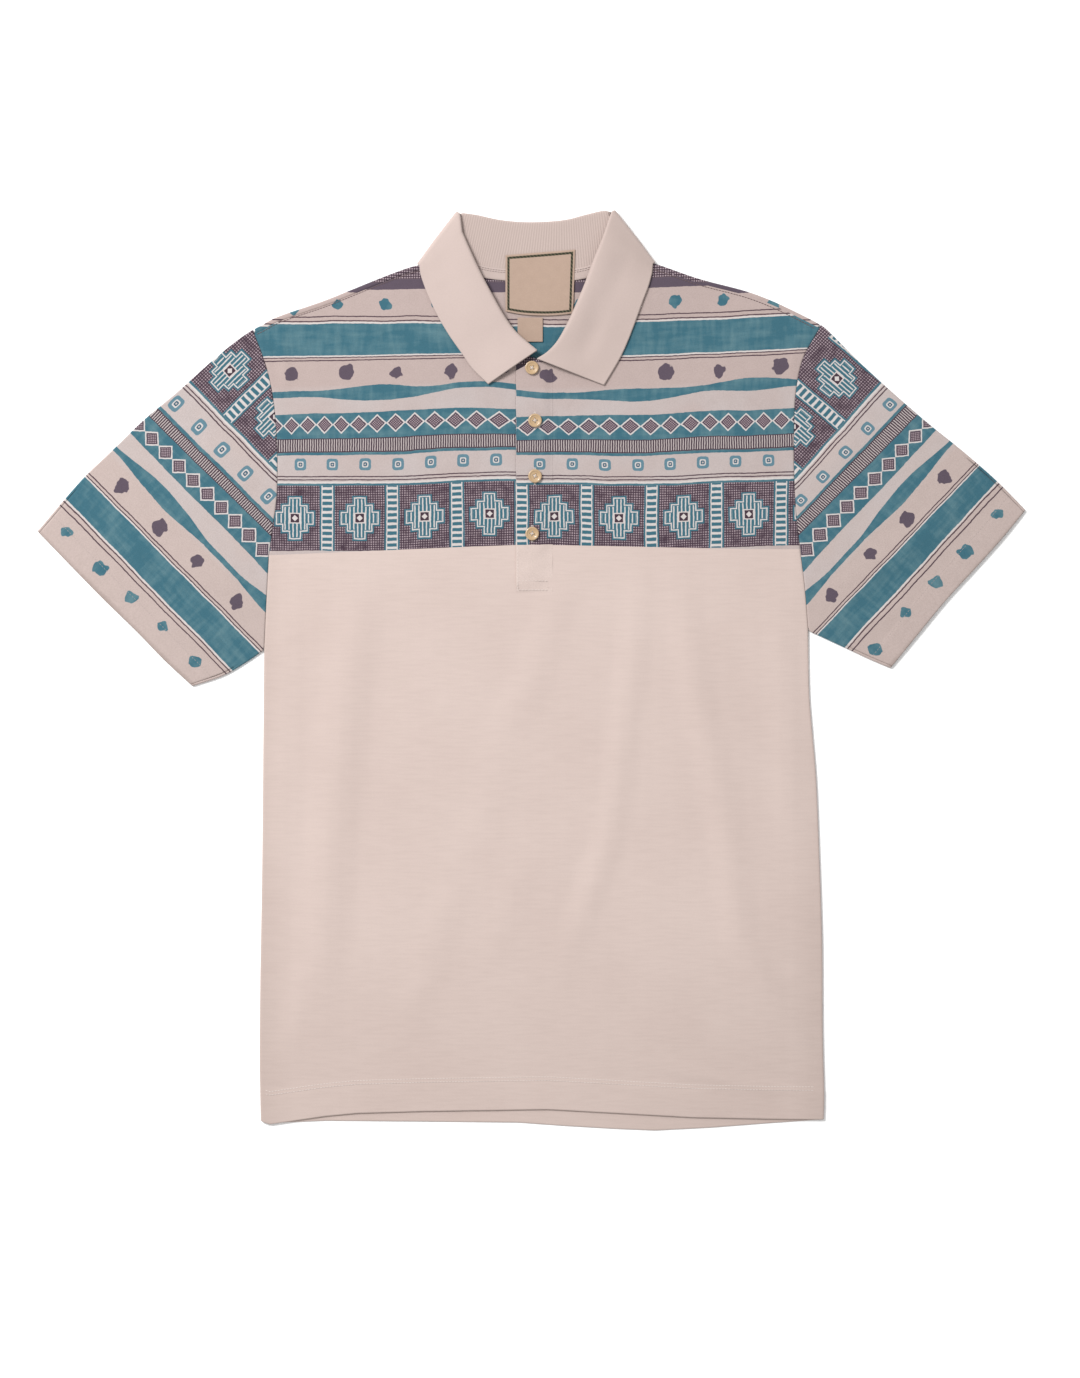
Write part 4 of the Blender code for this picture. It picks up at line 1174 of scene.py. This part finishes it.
class Cloth:
    """A cloth material in the making, with u and p in millimetres along and across the cloth."""

    def __init__(self, name, base, sheen=0.12):
        self.material, self.tree, self.shader = new_material(
            name, {"Roughness": 0.9, "Sheen Weight": sheen, "Specular IOR Level": 0.2})
        self.move_to(self.vector("SCALE", add_node(self.tree, "UVMap", uv_map="Cloth").outputs[0], 1000))
        base_node = add_node(self.tree, "RGB")
        base_node.outputs[0].default_value = colour(base)
        self.colour = base_node.outputs[0]

    def vector(self, operation, first, second):
        inputs = {0: first, "Scale" if operation == "SCALE" else 1: second}
        return add_node(self.tree, "VectorMath", inputs, operation=operation).outputs[0]

    def move_to(self, place):
        node = add_node(self.tree, "SeparateXYZ", {0: place})
        self.place, self.u, self.p = place, *(Field(self.tree, socket) for socket in node.outputs[:2])

    def noise(self, size, detail=2.0, stretch=(1, 1), output="Fac"):
        """Noise from 0 to 1 with features of about size millimetres."""
        place = self.place if stretch == (1, 1) else self.vector("MULTIPLY", self.place, (*stretch, 1))
        node = add_node(self.tree, "TexNoise", {"Scale": 1 / size, "Detail": detail, "Vector": place},
                        noise_dimensions="3D")
        return node.outputs[output] if output == "Color" else Field(self.tree, node.outputs[output])

    def sway(self, size, reach):
        """Moves everything painted from here on about by up to reach, as a hand does."""
        way = self.vector("SUBTRACT", self.noise(size, 1.0, output="Color"), (0.5, 0.5, 0.5))
        self.move_to(self.vector("ADD", self.place, self.vector("SCALE", way, 2 * reach)))

    def chance(self, cell, seed):
        """A number from 0 to 1 for each cell."""
        node = add_node(self.tree, "TexWhiteNoise", {"W": cell + seed}, noise_dimensions="1D")
        return Field(self.tree, node.outputs["Value"])

    def mixed(self, first, second, share):
        first, second = (colour(value) if isinstance(value, tuple) else value for value in (first, second))
        return add_mix(self.tree, share, first, second)

    def paint(self, paint, mask):
        self.colour = self.mixed(self.colour, paint, mask)

    def stripes(self, *rows):
        """Paints stripes across the cloth: colour, middle and half width."""
        for paint, middle, half in rows:
            self.paint(paint, self.p.near(middle, half))

    def nested(self, field, *rows, mask=None, soft=0.3):
        """Paints one in another: each colour where the field is below its limit."""
        for paint, limit in rows:
            inside = field.below(limit, soft)
            self.paint(paint, inside if mask is None else mask * inside)

    def shade(self, amount, field):
        """Darkens by up to amount where field is 1."""
        dark = (1 - amount, 1 - amount * 1.05, 1 - amount * 1.1, 1)
        self.colour = add_mix(self.tree, field, self.colour, dark, "MULTIPLY")

    def mottle(self, amount, size, limit, soft, detail=3.0, stretch=(1, 1)):
        """Darkens in noisy patches of about a size."""
        self.shade(amount, self.noise(size, detail, stretch).above(limit, soft))

    def finish(self, relief, depth):
        """Sets the colour, and the fine relief of the stitches, depth millimetres high."""
        bump = add_node(self.tree, "Bump", {"Strength": 1.0, "Distance": depth * MM, "Height": relief})
        self.tree.links.new(self.colour, self.shader.inputs["Base Color"])
        self.tree.links.new(bump.outputs[0], self.shader.inputs["Normal"])
        return self.material

    def knit(self, wale=0.95, course=0.8):
        """Height of a jersey's face: columns of small V-shaped stitches."""
        slope = abs(self.u.wrap(wale)) * 0.9
        return (self.u.wave(wale) + (self.p + slope).wave(course)) * 0.5 + self.noise(2.5) * 0.8


def blob(cloth, across, pitch, middle, row, radius, seed, stretched=False):
    """Mask of a row of rough spots, evened out where the print is stretched below the row."""
    cell = across.cell(pitch, middle)
    aside = cloth.chance(cell, seed)
    u = across.wrap(pitch, middle) + (aside - 0.5) * 5
    v = cloth.p - row + (cloth.chance(cell, seed + 50) - 0.5) * 2.5
    if stretched:
        v = v * 1.18 + v.math("MINIMUM", 0.0) * 0.6
    size = (u * u + v * v).math("SQRT") + cloth.noise(5.6, 0.6) * 7.0 + aside * 1.6
    return size.below(radius + 4.0, 0.5)


def boxes(u, v, sizes):
    """Distance to the nearest of some boxes about one middle, negative inside."""
    first, *others = [(abs(u) - half_u).math("MAXIMUM", abs(v) - half_v) for half_u, half_v in sizes]
    for away in others:
        first = first.math("MINIMUM", away)
    return first


def cross_hatch(cloth, pitch=2.1, hole=0.6):
    """Mask of the light holes between crossing lines."""
    return cloth.u.wrap(pitch).near(0, hole, 0.35) * cloth.p.wrap(pitch).near(0, hole, 0.35)


CROSS_PITCH, CROSS_MIDDLE = 57.0, -208
# Half width and half height of the steps of a cross, and of the square in its middle.
CROSS_STEPS = ((16.5, 5.5), (11.0, 11.5), (5.0, 18.0))
CROSS_HEART = ((4.6, 4.6),)


def stepped_band(cloth, top, height):
    """Stepped crosses between striped posts on a cross-hatched ground, below top."""
    q = cloth.p.wrap(height + 6, top + height / 2)
    ground = cloth.p.above(top) * abs(q).below(height / 2)
    cloth.paint(DARK, ground)
    cloth.paint(HOLE, ground * cross_hatch(cloth) * cloth.noise(8, 3.0).above(0.4, 0.35))
    u = cloth.u.wrap(CROSS_PITCH, CROSS_MIDDLE)
    cross = boxes(u, q, CROSS_STEPS)
    cloth.nested(cross, (TEAL, 1.5), (WHITE, 0.1), (TEAL, -0.9), mask=ground)
    cloth.paint(WHITE, ground * cross.below(-1.6) * u.wrap(3.4, 1.7).near(0, 0.55, 0.4))
    cloth.nested(boxes(u, q, CROSS_HEART), (WHITE, 0.0), (DARK, -0.9), mask=ground)
    cloth.nested(abs(u) + abs(q), (WHITE, 2.6), mask=ground)
    post = abs(cloth.u.wrap(CROSS_PITCH, CROSS_MIDDLE + CROSS_PITCH / 2))
    cloth.nested(post, (TEAL, 6.6), (WHITE, 5.1), mask=ground)
    cloth.paint(TEAL, ground * post.below(4.2) * cloth.p.wrap(5.2, top).near(0, 1.5, 0.5))


RIGHT_OF_PLACKET = -13.5     # u of the over band's left edge, where the print is broken
BAND_TOP, BAND_HEIGHT = 142.0, 57.0
SLEEVE_END = 198.5           # p where the sleeve's print ends in plain cross-hatching


def print_material(name="printed_jersey", foot=None, on_sleeve=False):
    """The printed jersey. Below foot, on the print's own scale, the cloth is plain."""
    cloth = Cloth(name, CREAM)
    relief = cloth.knit()
    # On the sleeves the warm cream is painted lighter than on the yoke: painted light.
    warm = CREAM_SLEEVE_LIT if on_sleeve else CREAM_WARM
    cloth.paint(warm, cloth.p.below(57, 6) * (cloth.p.near(14, 14) * -1 + 1))
    cloth.paint(warm, cloth.noise(60, 3.0).above(0.56, 0.5))
    cloth.sway(38, 1.0)
    cloth.sway(3.2, 0.36)
    u, p = cloth.u, cloth.p
    right = u.above(RIGHT_OF_PLACKET)

    # At the shoulder: hatching and a purple line, then teal spots.
    top = p.below(-38.7)
    cloth.paint(DARK, top)
    cloth.paint(HOLE, top * cross_hatch(cloth))
    cloth.stripes((PURPLE, -34.3, 4.4))
    wash = (cloth.noise(10, 5.0, (0.35, 1.8)) + cloth.noise(10, 5.0, (1.8, 0.35))
            + cloth.noise(34, 2.0))
    teal = cloth.mixed(TEAL, TEAL_PALE, wash.above(1.6, 0.5))
    pitch, middle = (39.6, 20.5) if on_sleeve else (42.2, -126.3)
    cloth.paint(teal, blob(cloth, u, pitch, middle, -18.0, 5.8, 3.0, on_sleeve))
    for middle, gap in ((-4.3, 3.9), (31.1, 2.7), (135.6, 2.8)):
        cloth.paint(LINE, abs(p - middle).near(gap / 2, 0.5, 0.3))
    cloth.stripes((WHITE, -0.8, 0.65), (WHITE, 28.7, 0.6), (teal, 14.0, 14.0))

    # Purple spots and a wavy teal ribbon.
    across = u if on_sleeve else u + (u * -0.069 + 10.4) * right
    pitch, middle = (48.0, 24.0) if on_sleeve else (47.1, -211.6)
    cloth.paint(PURPLE, blob(cloth, across, pitch, middle, 43.6, 6.3, 11.0))
    if on_sleeve:
        middle = u.wave(220, 30) * 1.3 + 61.0
        half = (u.wave(150, 58) * 2.7 + 3.9).math("MAXIMUM", 2.2)
    else:
        middle = u.bump(-44, 62) * -5.6 + u.bump(205, 105) * -5.4 + 62.0
        half = u.bump(-134, 62) * 4.4 + u.bump(92, 62) * 2.9 + u.bump(194, 44) * 3.0 + 2.7
    cloth.paint(teal, (half - abs(p - middle)).above(0.0))

    # A teal band of diamonds, which on the body get wider towards its sides.
    cloth.stripes((teal, 90.2, 11.0))
    if on_sleeve:
        across = u.wrap(17.2, 13.7)
    else:
        from_side = u + 120
        at_left = u - from_side * from_side * 0.00095
        at_right = u * 1.06 - u.math("SMOOTH_MIN", 147.0, 60.0) * 0.14
        across = (at_left + (at_right - at_left) * right).wrap(16.6, -219)
    across, down = across * (1 / 7.0), (p - 89.2) * (1 / 6.4)
    diamond = abs(across) + abs(down)
    cloth.nested(diamond, (WHITE, 1.24), (PURPLE, 1.0), (DARK, 0.84), soft=0.05)
    cloth.paint(HOLE, diamond.below(0.8, 0.05) * (across + down).wrap(0.32).near(0, 0.1, 0.06)
                * (across - down).wrap(0.32).near(0, 0.1, 0.06))

    # A ladder of short lines, and ringed squares.
    ladder = p.near(106.7, 5.5)
    cloth.paint(CREAM, ladder)
    cloth.paint(DARK, ladder * u.wrap(2.1).near(0, 0.62, 0.4))
    cloth.stripes((DARK, 101.4, 0.35), (DARK, 112.6, 0.5), (teal, 114.3, 1.2))
    across, down = (u - right * 9.7).wrap(28.7, -203.4), p - 123.6
    size = (across.math("POWER", 4) + down.math("POWER", 4)).math("POWER", 0.25)
    cloth.nested(size, (TEAL_GREY, 5.2), (WHITE, 2.7), (TEAL_DEEP, 1.7), (CREAM, 0.7))

    cloth.stripes((WHITE, 139.5, 0.9), (teal, 141.2, 0.9))
    stepped_band(cloth, BAND_TOP, BAND_HEIGHT)
    if foot:
        cloth.paint(PLAIN, p.above(foot))
    if on_sleeve:
        beyond = p.above(SLEEVE_END)
        cloth.paint(DARK, beyond)
        cloth.paint(HOLE, beyond * cross_hatch(cloth))
        # Painted shade along the cuff's turned edge.
        cloth.shade(0.24, p.below(-26.8, 2.0))
    cloth.mottle(0.1, 1.1, 0.52, 0.35)
    cloth.mottle(0.05, 9, 0.5, 0.6)
    return cloth.finish(relief, 0.06)


def plain_material():
    """Plain jersey, with the slubs that run across it, and painted shade towards its sides, its hem and its
    lower right.
    """
    cloth = Cloth("plain_jersey", PLAIN)
    cloth.paint(PLAIN_SHADE, cloth.noise(120, 2.0).above(0.5, 0.6))
    # Painted shade: darker towards both sides, towards the hem and towards the lower right, where the light
    # falls off.
    cloth.shade(0.1, abs(cloth.u - 9).above(236, 34))
    cloth.shade(0.06, cloth.p.below(90, 220))
    cloth.shade(0.035, (cloth.u - cloth.p).above(60, 160))
    cloth.mottle(0.04, 1.3, 0.5, 0.5)
    cloth.mottle(0.035, 2.6, 0.54, 0.25, stretch=(0.12, 1.3))
    cloth.mottle(0.02, 12, 0.5, 0.5, stretch=(0.4, 1.6))
    return cloth.finish(cloth.knit(), 0.06)


def tape_material():
    """Twill tape: slanting ridges."""
    cloth = Cloth("neck_tape", RIB)
    twill = (cloth.u + cloth.p * 0.8).wave(0.8)
    # Painted shade in the grooves between the ridges.
    cloth.shade(0.08, twill.below(0.0, 0.8))
    return cloth.finish(twill + cloth.noise(1.0), 0.06)


def rib_material():
    """Fine rib: plain to see on the stand, which is stretched, and closed up on the leaf."""
    cloth = Cloth("rib_knit", RIB, sheen=0.15)
    stand = cloth.p.below(1, 5)
    ribs = cloth.u.wave(2.1)
    leaf = stand * -1 + 1
    # Painted shade in the grooves between the ribs.
    cloth.shade(0.08, ribs.below(-0.1, 0.9) * (stand * 0.97 + 0.03))
    # Painted shade on the right wing's leaf, darkest on its upper part.
    cloth.shade(0.05, cloth.u.above(278, 30) * leaf)
    cloth.shade(0.08, cloth.u.near(300, 26, 50) * leaf)
    # Painted shade on the stand, which lies under the leaf.
    cloth.shade(0.075, stand)
    cloth.mottle(0.05, 1.4, 0.5, 0.5)
    cloth.mottle(0.03, 22, 0.5, 0.6)
    stitch = (cloth.p + abs(cloth.u.wrap(1.05)) * 0.6).wave(0.85) * 0.35
    return cloth.finish(ribs * (stand * 0.87 + 0.05) + stitch + cloth.noise(2.2) * 0.5, 0.09)


def label_material(name, border=None):
    """Woven tape. border is the half width and half height of the cloth inside its edge."""
    cloth = Cloth(name, TAN)
    threads = cloth.u.wave(0.55) + cloth.p.wave(0.45)
    cloth.mottle(0.1, 0.8, 0.5, 0.4, detail=2.0)
    cloth.mottle(0.06, 7, 0.5, 0.5)
    if border:
        chain = boxes(cloth.u, cloth.p, (border,)).near(-2.5, 0.95, 0.3)
        cloth.paint(CHAIN, chain)
        cloth.paint(CHAIN_DARK, chain * (cloth.u + cloth.p).wrap(3.0).near(0, 1.15, 0.3))
    return cloth.finish(threads, 0.05)


def tinted(name, values, noise, first, second, placed_by=None):
    """A plain material whose colour goes between two by a noise."""
    made, tree, shader = new_material(name, values)
    if placed_by:
        noise = {"Vector": add_node(tree, "TexCoord").outputs[placed_by], **noise}
    share = add_node(tree, "TexNoise", noise).outputs[0]
    tree.links.new(add_mix(tree, share, colour(first), colour(second)), shader.inputs["Base Color"])
    return made


def thread_material(name, rgb):
    return tinted(name, {"Roughness": 0.75}, {"Scale": 2500}, rgb, [c * 0.88 for c in rgb])


printed = print_material()
printed_band = print_material("printed_band", foot=195.1)
printed_sleeve = print_material("printed_sleeve", on_sleeve=True)
plain = plain_material()
tape_cloth = tape_material()
rib = rib_material()
horn = tinted("horn_button", {"Roughness": 0.32, "Coat Weight": 0.3},
              {"Scale": 260, "Detail": 4, "Distortion": 1.2}, HORN, HORN_DARK, "Object")
woven = label_material("woven_label", (29.6, 24.65))
woven_small = label_material("woven_size_label")
cream_thread = thread_material("cream_thread", THREAD)
dull_thread = thread_material("dull_thread", THREAD_DULL)
dark_thread = thread_material("dark_thread", THREAD_DARK)

# --- the shirt -----------------------------------------------------------------------------

front_neck_left, _, front_neck_right = neck_lines()
hem_base = hemmed(HEM_FRONT, front_base)

back_upper = back_yoke(printed)
back_lower = plain_body("back_lower", HEM_BACK, BACK_SEAM, back_base, BACK_STEPS, True, plain)
front_upper_left = front_yoke("front_upper_left", front_neck_left, SHOULDER_LEFT, ARMHOLE_LEFT,
                              BAND_LEFT, -1, printed)
front_upper_right = front_yoke("front_upper_right", front_neck_right, SHOULDER_RIGHT, ARMHOLE_RIGHT,
                               BAND_RIGHT, 1, printed)
front_lower = plain_body("front_lower", HEM_FRONT, PRINT_SEAM, hem_base, FRONT_STEPS, False, plain)
sleeve_left, cuff_left_top, cuff_left_under = sleeve(
    "sleeve_left", CUFF_LEFT, SLEEVE_TOP_LEFT, SLEEVE_UNDER_LEFT, (UNDERARM_LEFT, ARMHOLE_LEFT), -1,
    print_sleeve(CUFF_LEFT, PRINT_SLEEVE_LEFT), printed_sleeve)
sleeve_right, cuff_right_top, cuff_right_under = sleeve(
    "sleeve_right", CUFF_RIGHT, SLEEVE_TOP_RIGHT, SLEEVE_UNDER_RIGHT, (UNDERARM_RIGHT, ARMHOLE_RIGHT), 1,
    print_sleeve(CUFF_RIGHT, PRINT_SLEEVE_RIGHT), printed_sleeve)
placket_under = under_band(printed)
placket_over = over_band(printed_band)
collar_leaf = collar(rib)
neck_label = label("neck_label", NECK_LABEL_FOOT, NECK_LABEL_HEAD, LEAF, woven)
size_label = label("size_label", SIZE_LABEL_FOOT, SIZE_LABEL_HEAD, LEAF - SEAM, woven_small)
tape, tape_rows = neck_tape(tape_cloth)


def hem_row(hem, away, height):
    return on_cloth([Vector((x, at_x(hem, x) + away)) for x in HEM_STITCHED], height)


def band_row(start, end):
    return stitches(on_cloth([Vector(start), Vector(end)], band_top))


hem_front, hem_back, shoulder_rows = [], [], []
for away in HEM_ROWS:
    hem_front += stitches(hem_row(HEM_FRONT, away, lambda x, y: hem_base(x, y) + CLOTH),
                          pitch=2.7, length=2.3, radius=0.26)
    hem_back += stitches(hem_row(HEM_BACK, away, lambda x, y: back_base(x, y) + 0.1), face=-1)
cuff_left = stitches(cuff_left_top, radius=0.14) + stitches(cuff_left_under, face=-1)
cuff_right = stitches(cuff_right_top, radius=0.14) + stitches(cuff_right_under, face=-1)
placket = [part for y in FOOT_ROWS for part in band_row((FOOT_LEFT, y), (FOOT_RIGHT, y))]
placket += band_row((FOOT_LEFT, FOOT_ROWS[1]), (FOOT_LEFT, FOOT_SIDE_TOP))
for shoulder in (SHOULDER_LEFT, SHOULDER_RIGHT):
    row = shifted(spline(shoulder, SHOULDER_STEPS), -SHOULDER_WRAP - 1.2)
    shoulder_rows += stitches(on_cloth(row, lambda x, y: front_base(x, y) + CLOTH - 0.06),
                              pitch=2.6, length=2.3, radius=0.34)

joined("stitches_shoulders", shoulder_rows, dark_thread)
for number, ((x, y), turned) in enumerate(zip(BUTTONS, BUTTONS_TURNED), 1):
    seat, made = button(f"button_{number}", x, y, turned, horn)
    joined(f"button_{number}_thread", button_threads(x, y, turned, seat), cream_thread)
    if number > 1:       # the first one's buttonhole is under the collar
        joined(f"buttonhole_{number}", buttonhole(x, y, band_top), cream_thread)
for name, parts, thread in (("hem_front", hem_front, cream_thread), ("hem_back", hem_back, cream_thread),
                            ("cuff_left", cuff_left, dull_thread), ("cuff_right", cuff_right, dull_thread),
                            ("placket", placket, cream_thread)):
    joined("stitches_" + name, parts, thread)
joined("stitches_tape", [part for row in tape_rows for part in stitches(row, pitch=2.4, length=2.0)],
       dark_thread)

# Cut of what shows, and its flat area: metres and square metres.
#          piece              slot              width  length area   rests on
SHEETS = [(back_lower, "plain_jersey", 0.498, 0.513, 0.247, ()),
          (front_lower, "plain_jersey", 0.498, 0.512, 0.245, (back_lower,)),
          (back_upper, "printed_jersey", 0.486, 0.262, 0.115, ()),
          (front_upper_left, "printed_jersey", 0.232, 0.256, 0.047, (back_upper,)),
          (front_upper_right, "printed_jersey", 0.226, 0.256, 0.047, (back_upper,)),
          (sleeve_left, "printed_jersey", 0.580, 0.264, 0.078, ()),
          (sleeve_right, "printed_jersey", 0.560, 0.256, 0.072, ()),
          (placket_under, "printed_jersey", 0.031, 0.170, 0.0052, (front_lower,)),
          (placket_over, "printed_jersey", 0.031, 0.202, 0.0062, (placket_under,)),
          (collar_leaf, "rib_knit", 0.470, 0.085, 0.039, (back_upper, front_upper_left, front_upper_right)),
          (neck_label, "woven_label", 0.061, 0.055, 0.0033, (back_upper,)),
          (size_label, "woven_label", 0.022, 0.021, 0.00046, (back_upper,)),
          (tape, "plain_jersey", 0.160, 0.0102, 0.0016, (collar_leaf,))]
for piece, slot, width, length, area, under in SHEETS:
    [other.name for other in under]

# --- floor, light and camera ---------------------------------------------------------------

VIEW_AT = (0.0075, -0.0163)
VIEW_HEIGHT = 1.21264        # of the picture at the table, in metres
VIEW_FROM = 3.2
SENSOR = 36
FLOOR_HALF, FLOOR_DROP = 6, 0.0003
KEY_AT, KEY_SIZE, KEY_POWER = (-1.9, 1.75, 2.9), 1.4, 156
SKY_STRENGTH = 0.66

floor_mesh = bpy.data.meshes.new("floor")
floor_mesh.from_pydata([(x * FLOOR_HALF, y * FLOOR_HALF, -FLOOR_DROP)
                        for x, y in ((-1, -1), (1, -1), (1, 1), (-1, 1))], [], [(0, 1, 2, 3)])
white_floor, *_ = new_material("white_floor", {"Base Color": (0.98, 0.98, 0.98, 1), "Roughness": 0.9})
floor_mesh.materials.append(white_floor)
in_scene("floor", floor_mesh)

world = bpy.data.worlds.new("studio")
bpy.context.scene.world = world
world.use_nodes = True
background = world.node_tree.nodes["Background"].inputs
background["Color"].default_value = (1, 1, 1, 1)
background["Strength"].default_value = SKY_STRENGTH

lamp = bpy.data.lights.new("key", "AREA")
lamp.shape, lamp.size, lamp.energy = "DISK", KEY_SIZE, KEY_POWER
key = in_scene("key", lamp)
key.location = KEY_AT
key.rotation_euler = (-Vector(KEY_AT)).to_track_quat("-Z", "Y").to_euler()

camera_data = bpy.data.cameras.new("camera")
camera_data.sensor_fit, camera_data.sensor_height = "VERTICAL", SENSOR
camera_data.lens = SENSOR * VIEW_FROM / VIEW_HEIGHT
camera_data.clip_end = 50
camera = in_scene("camera", camera_data)
camera.location = (*VIEW_AT, VIEW_FROM)
bpy.context.scene.camera = camera
bpy.context.scene.view_settings.view_transform = "Standard"
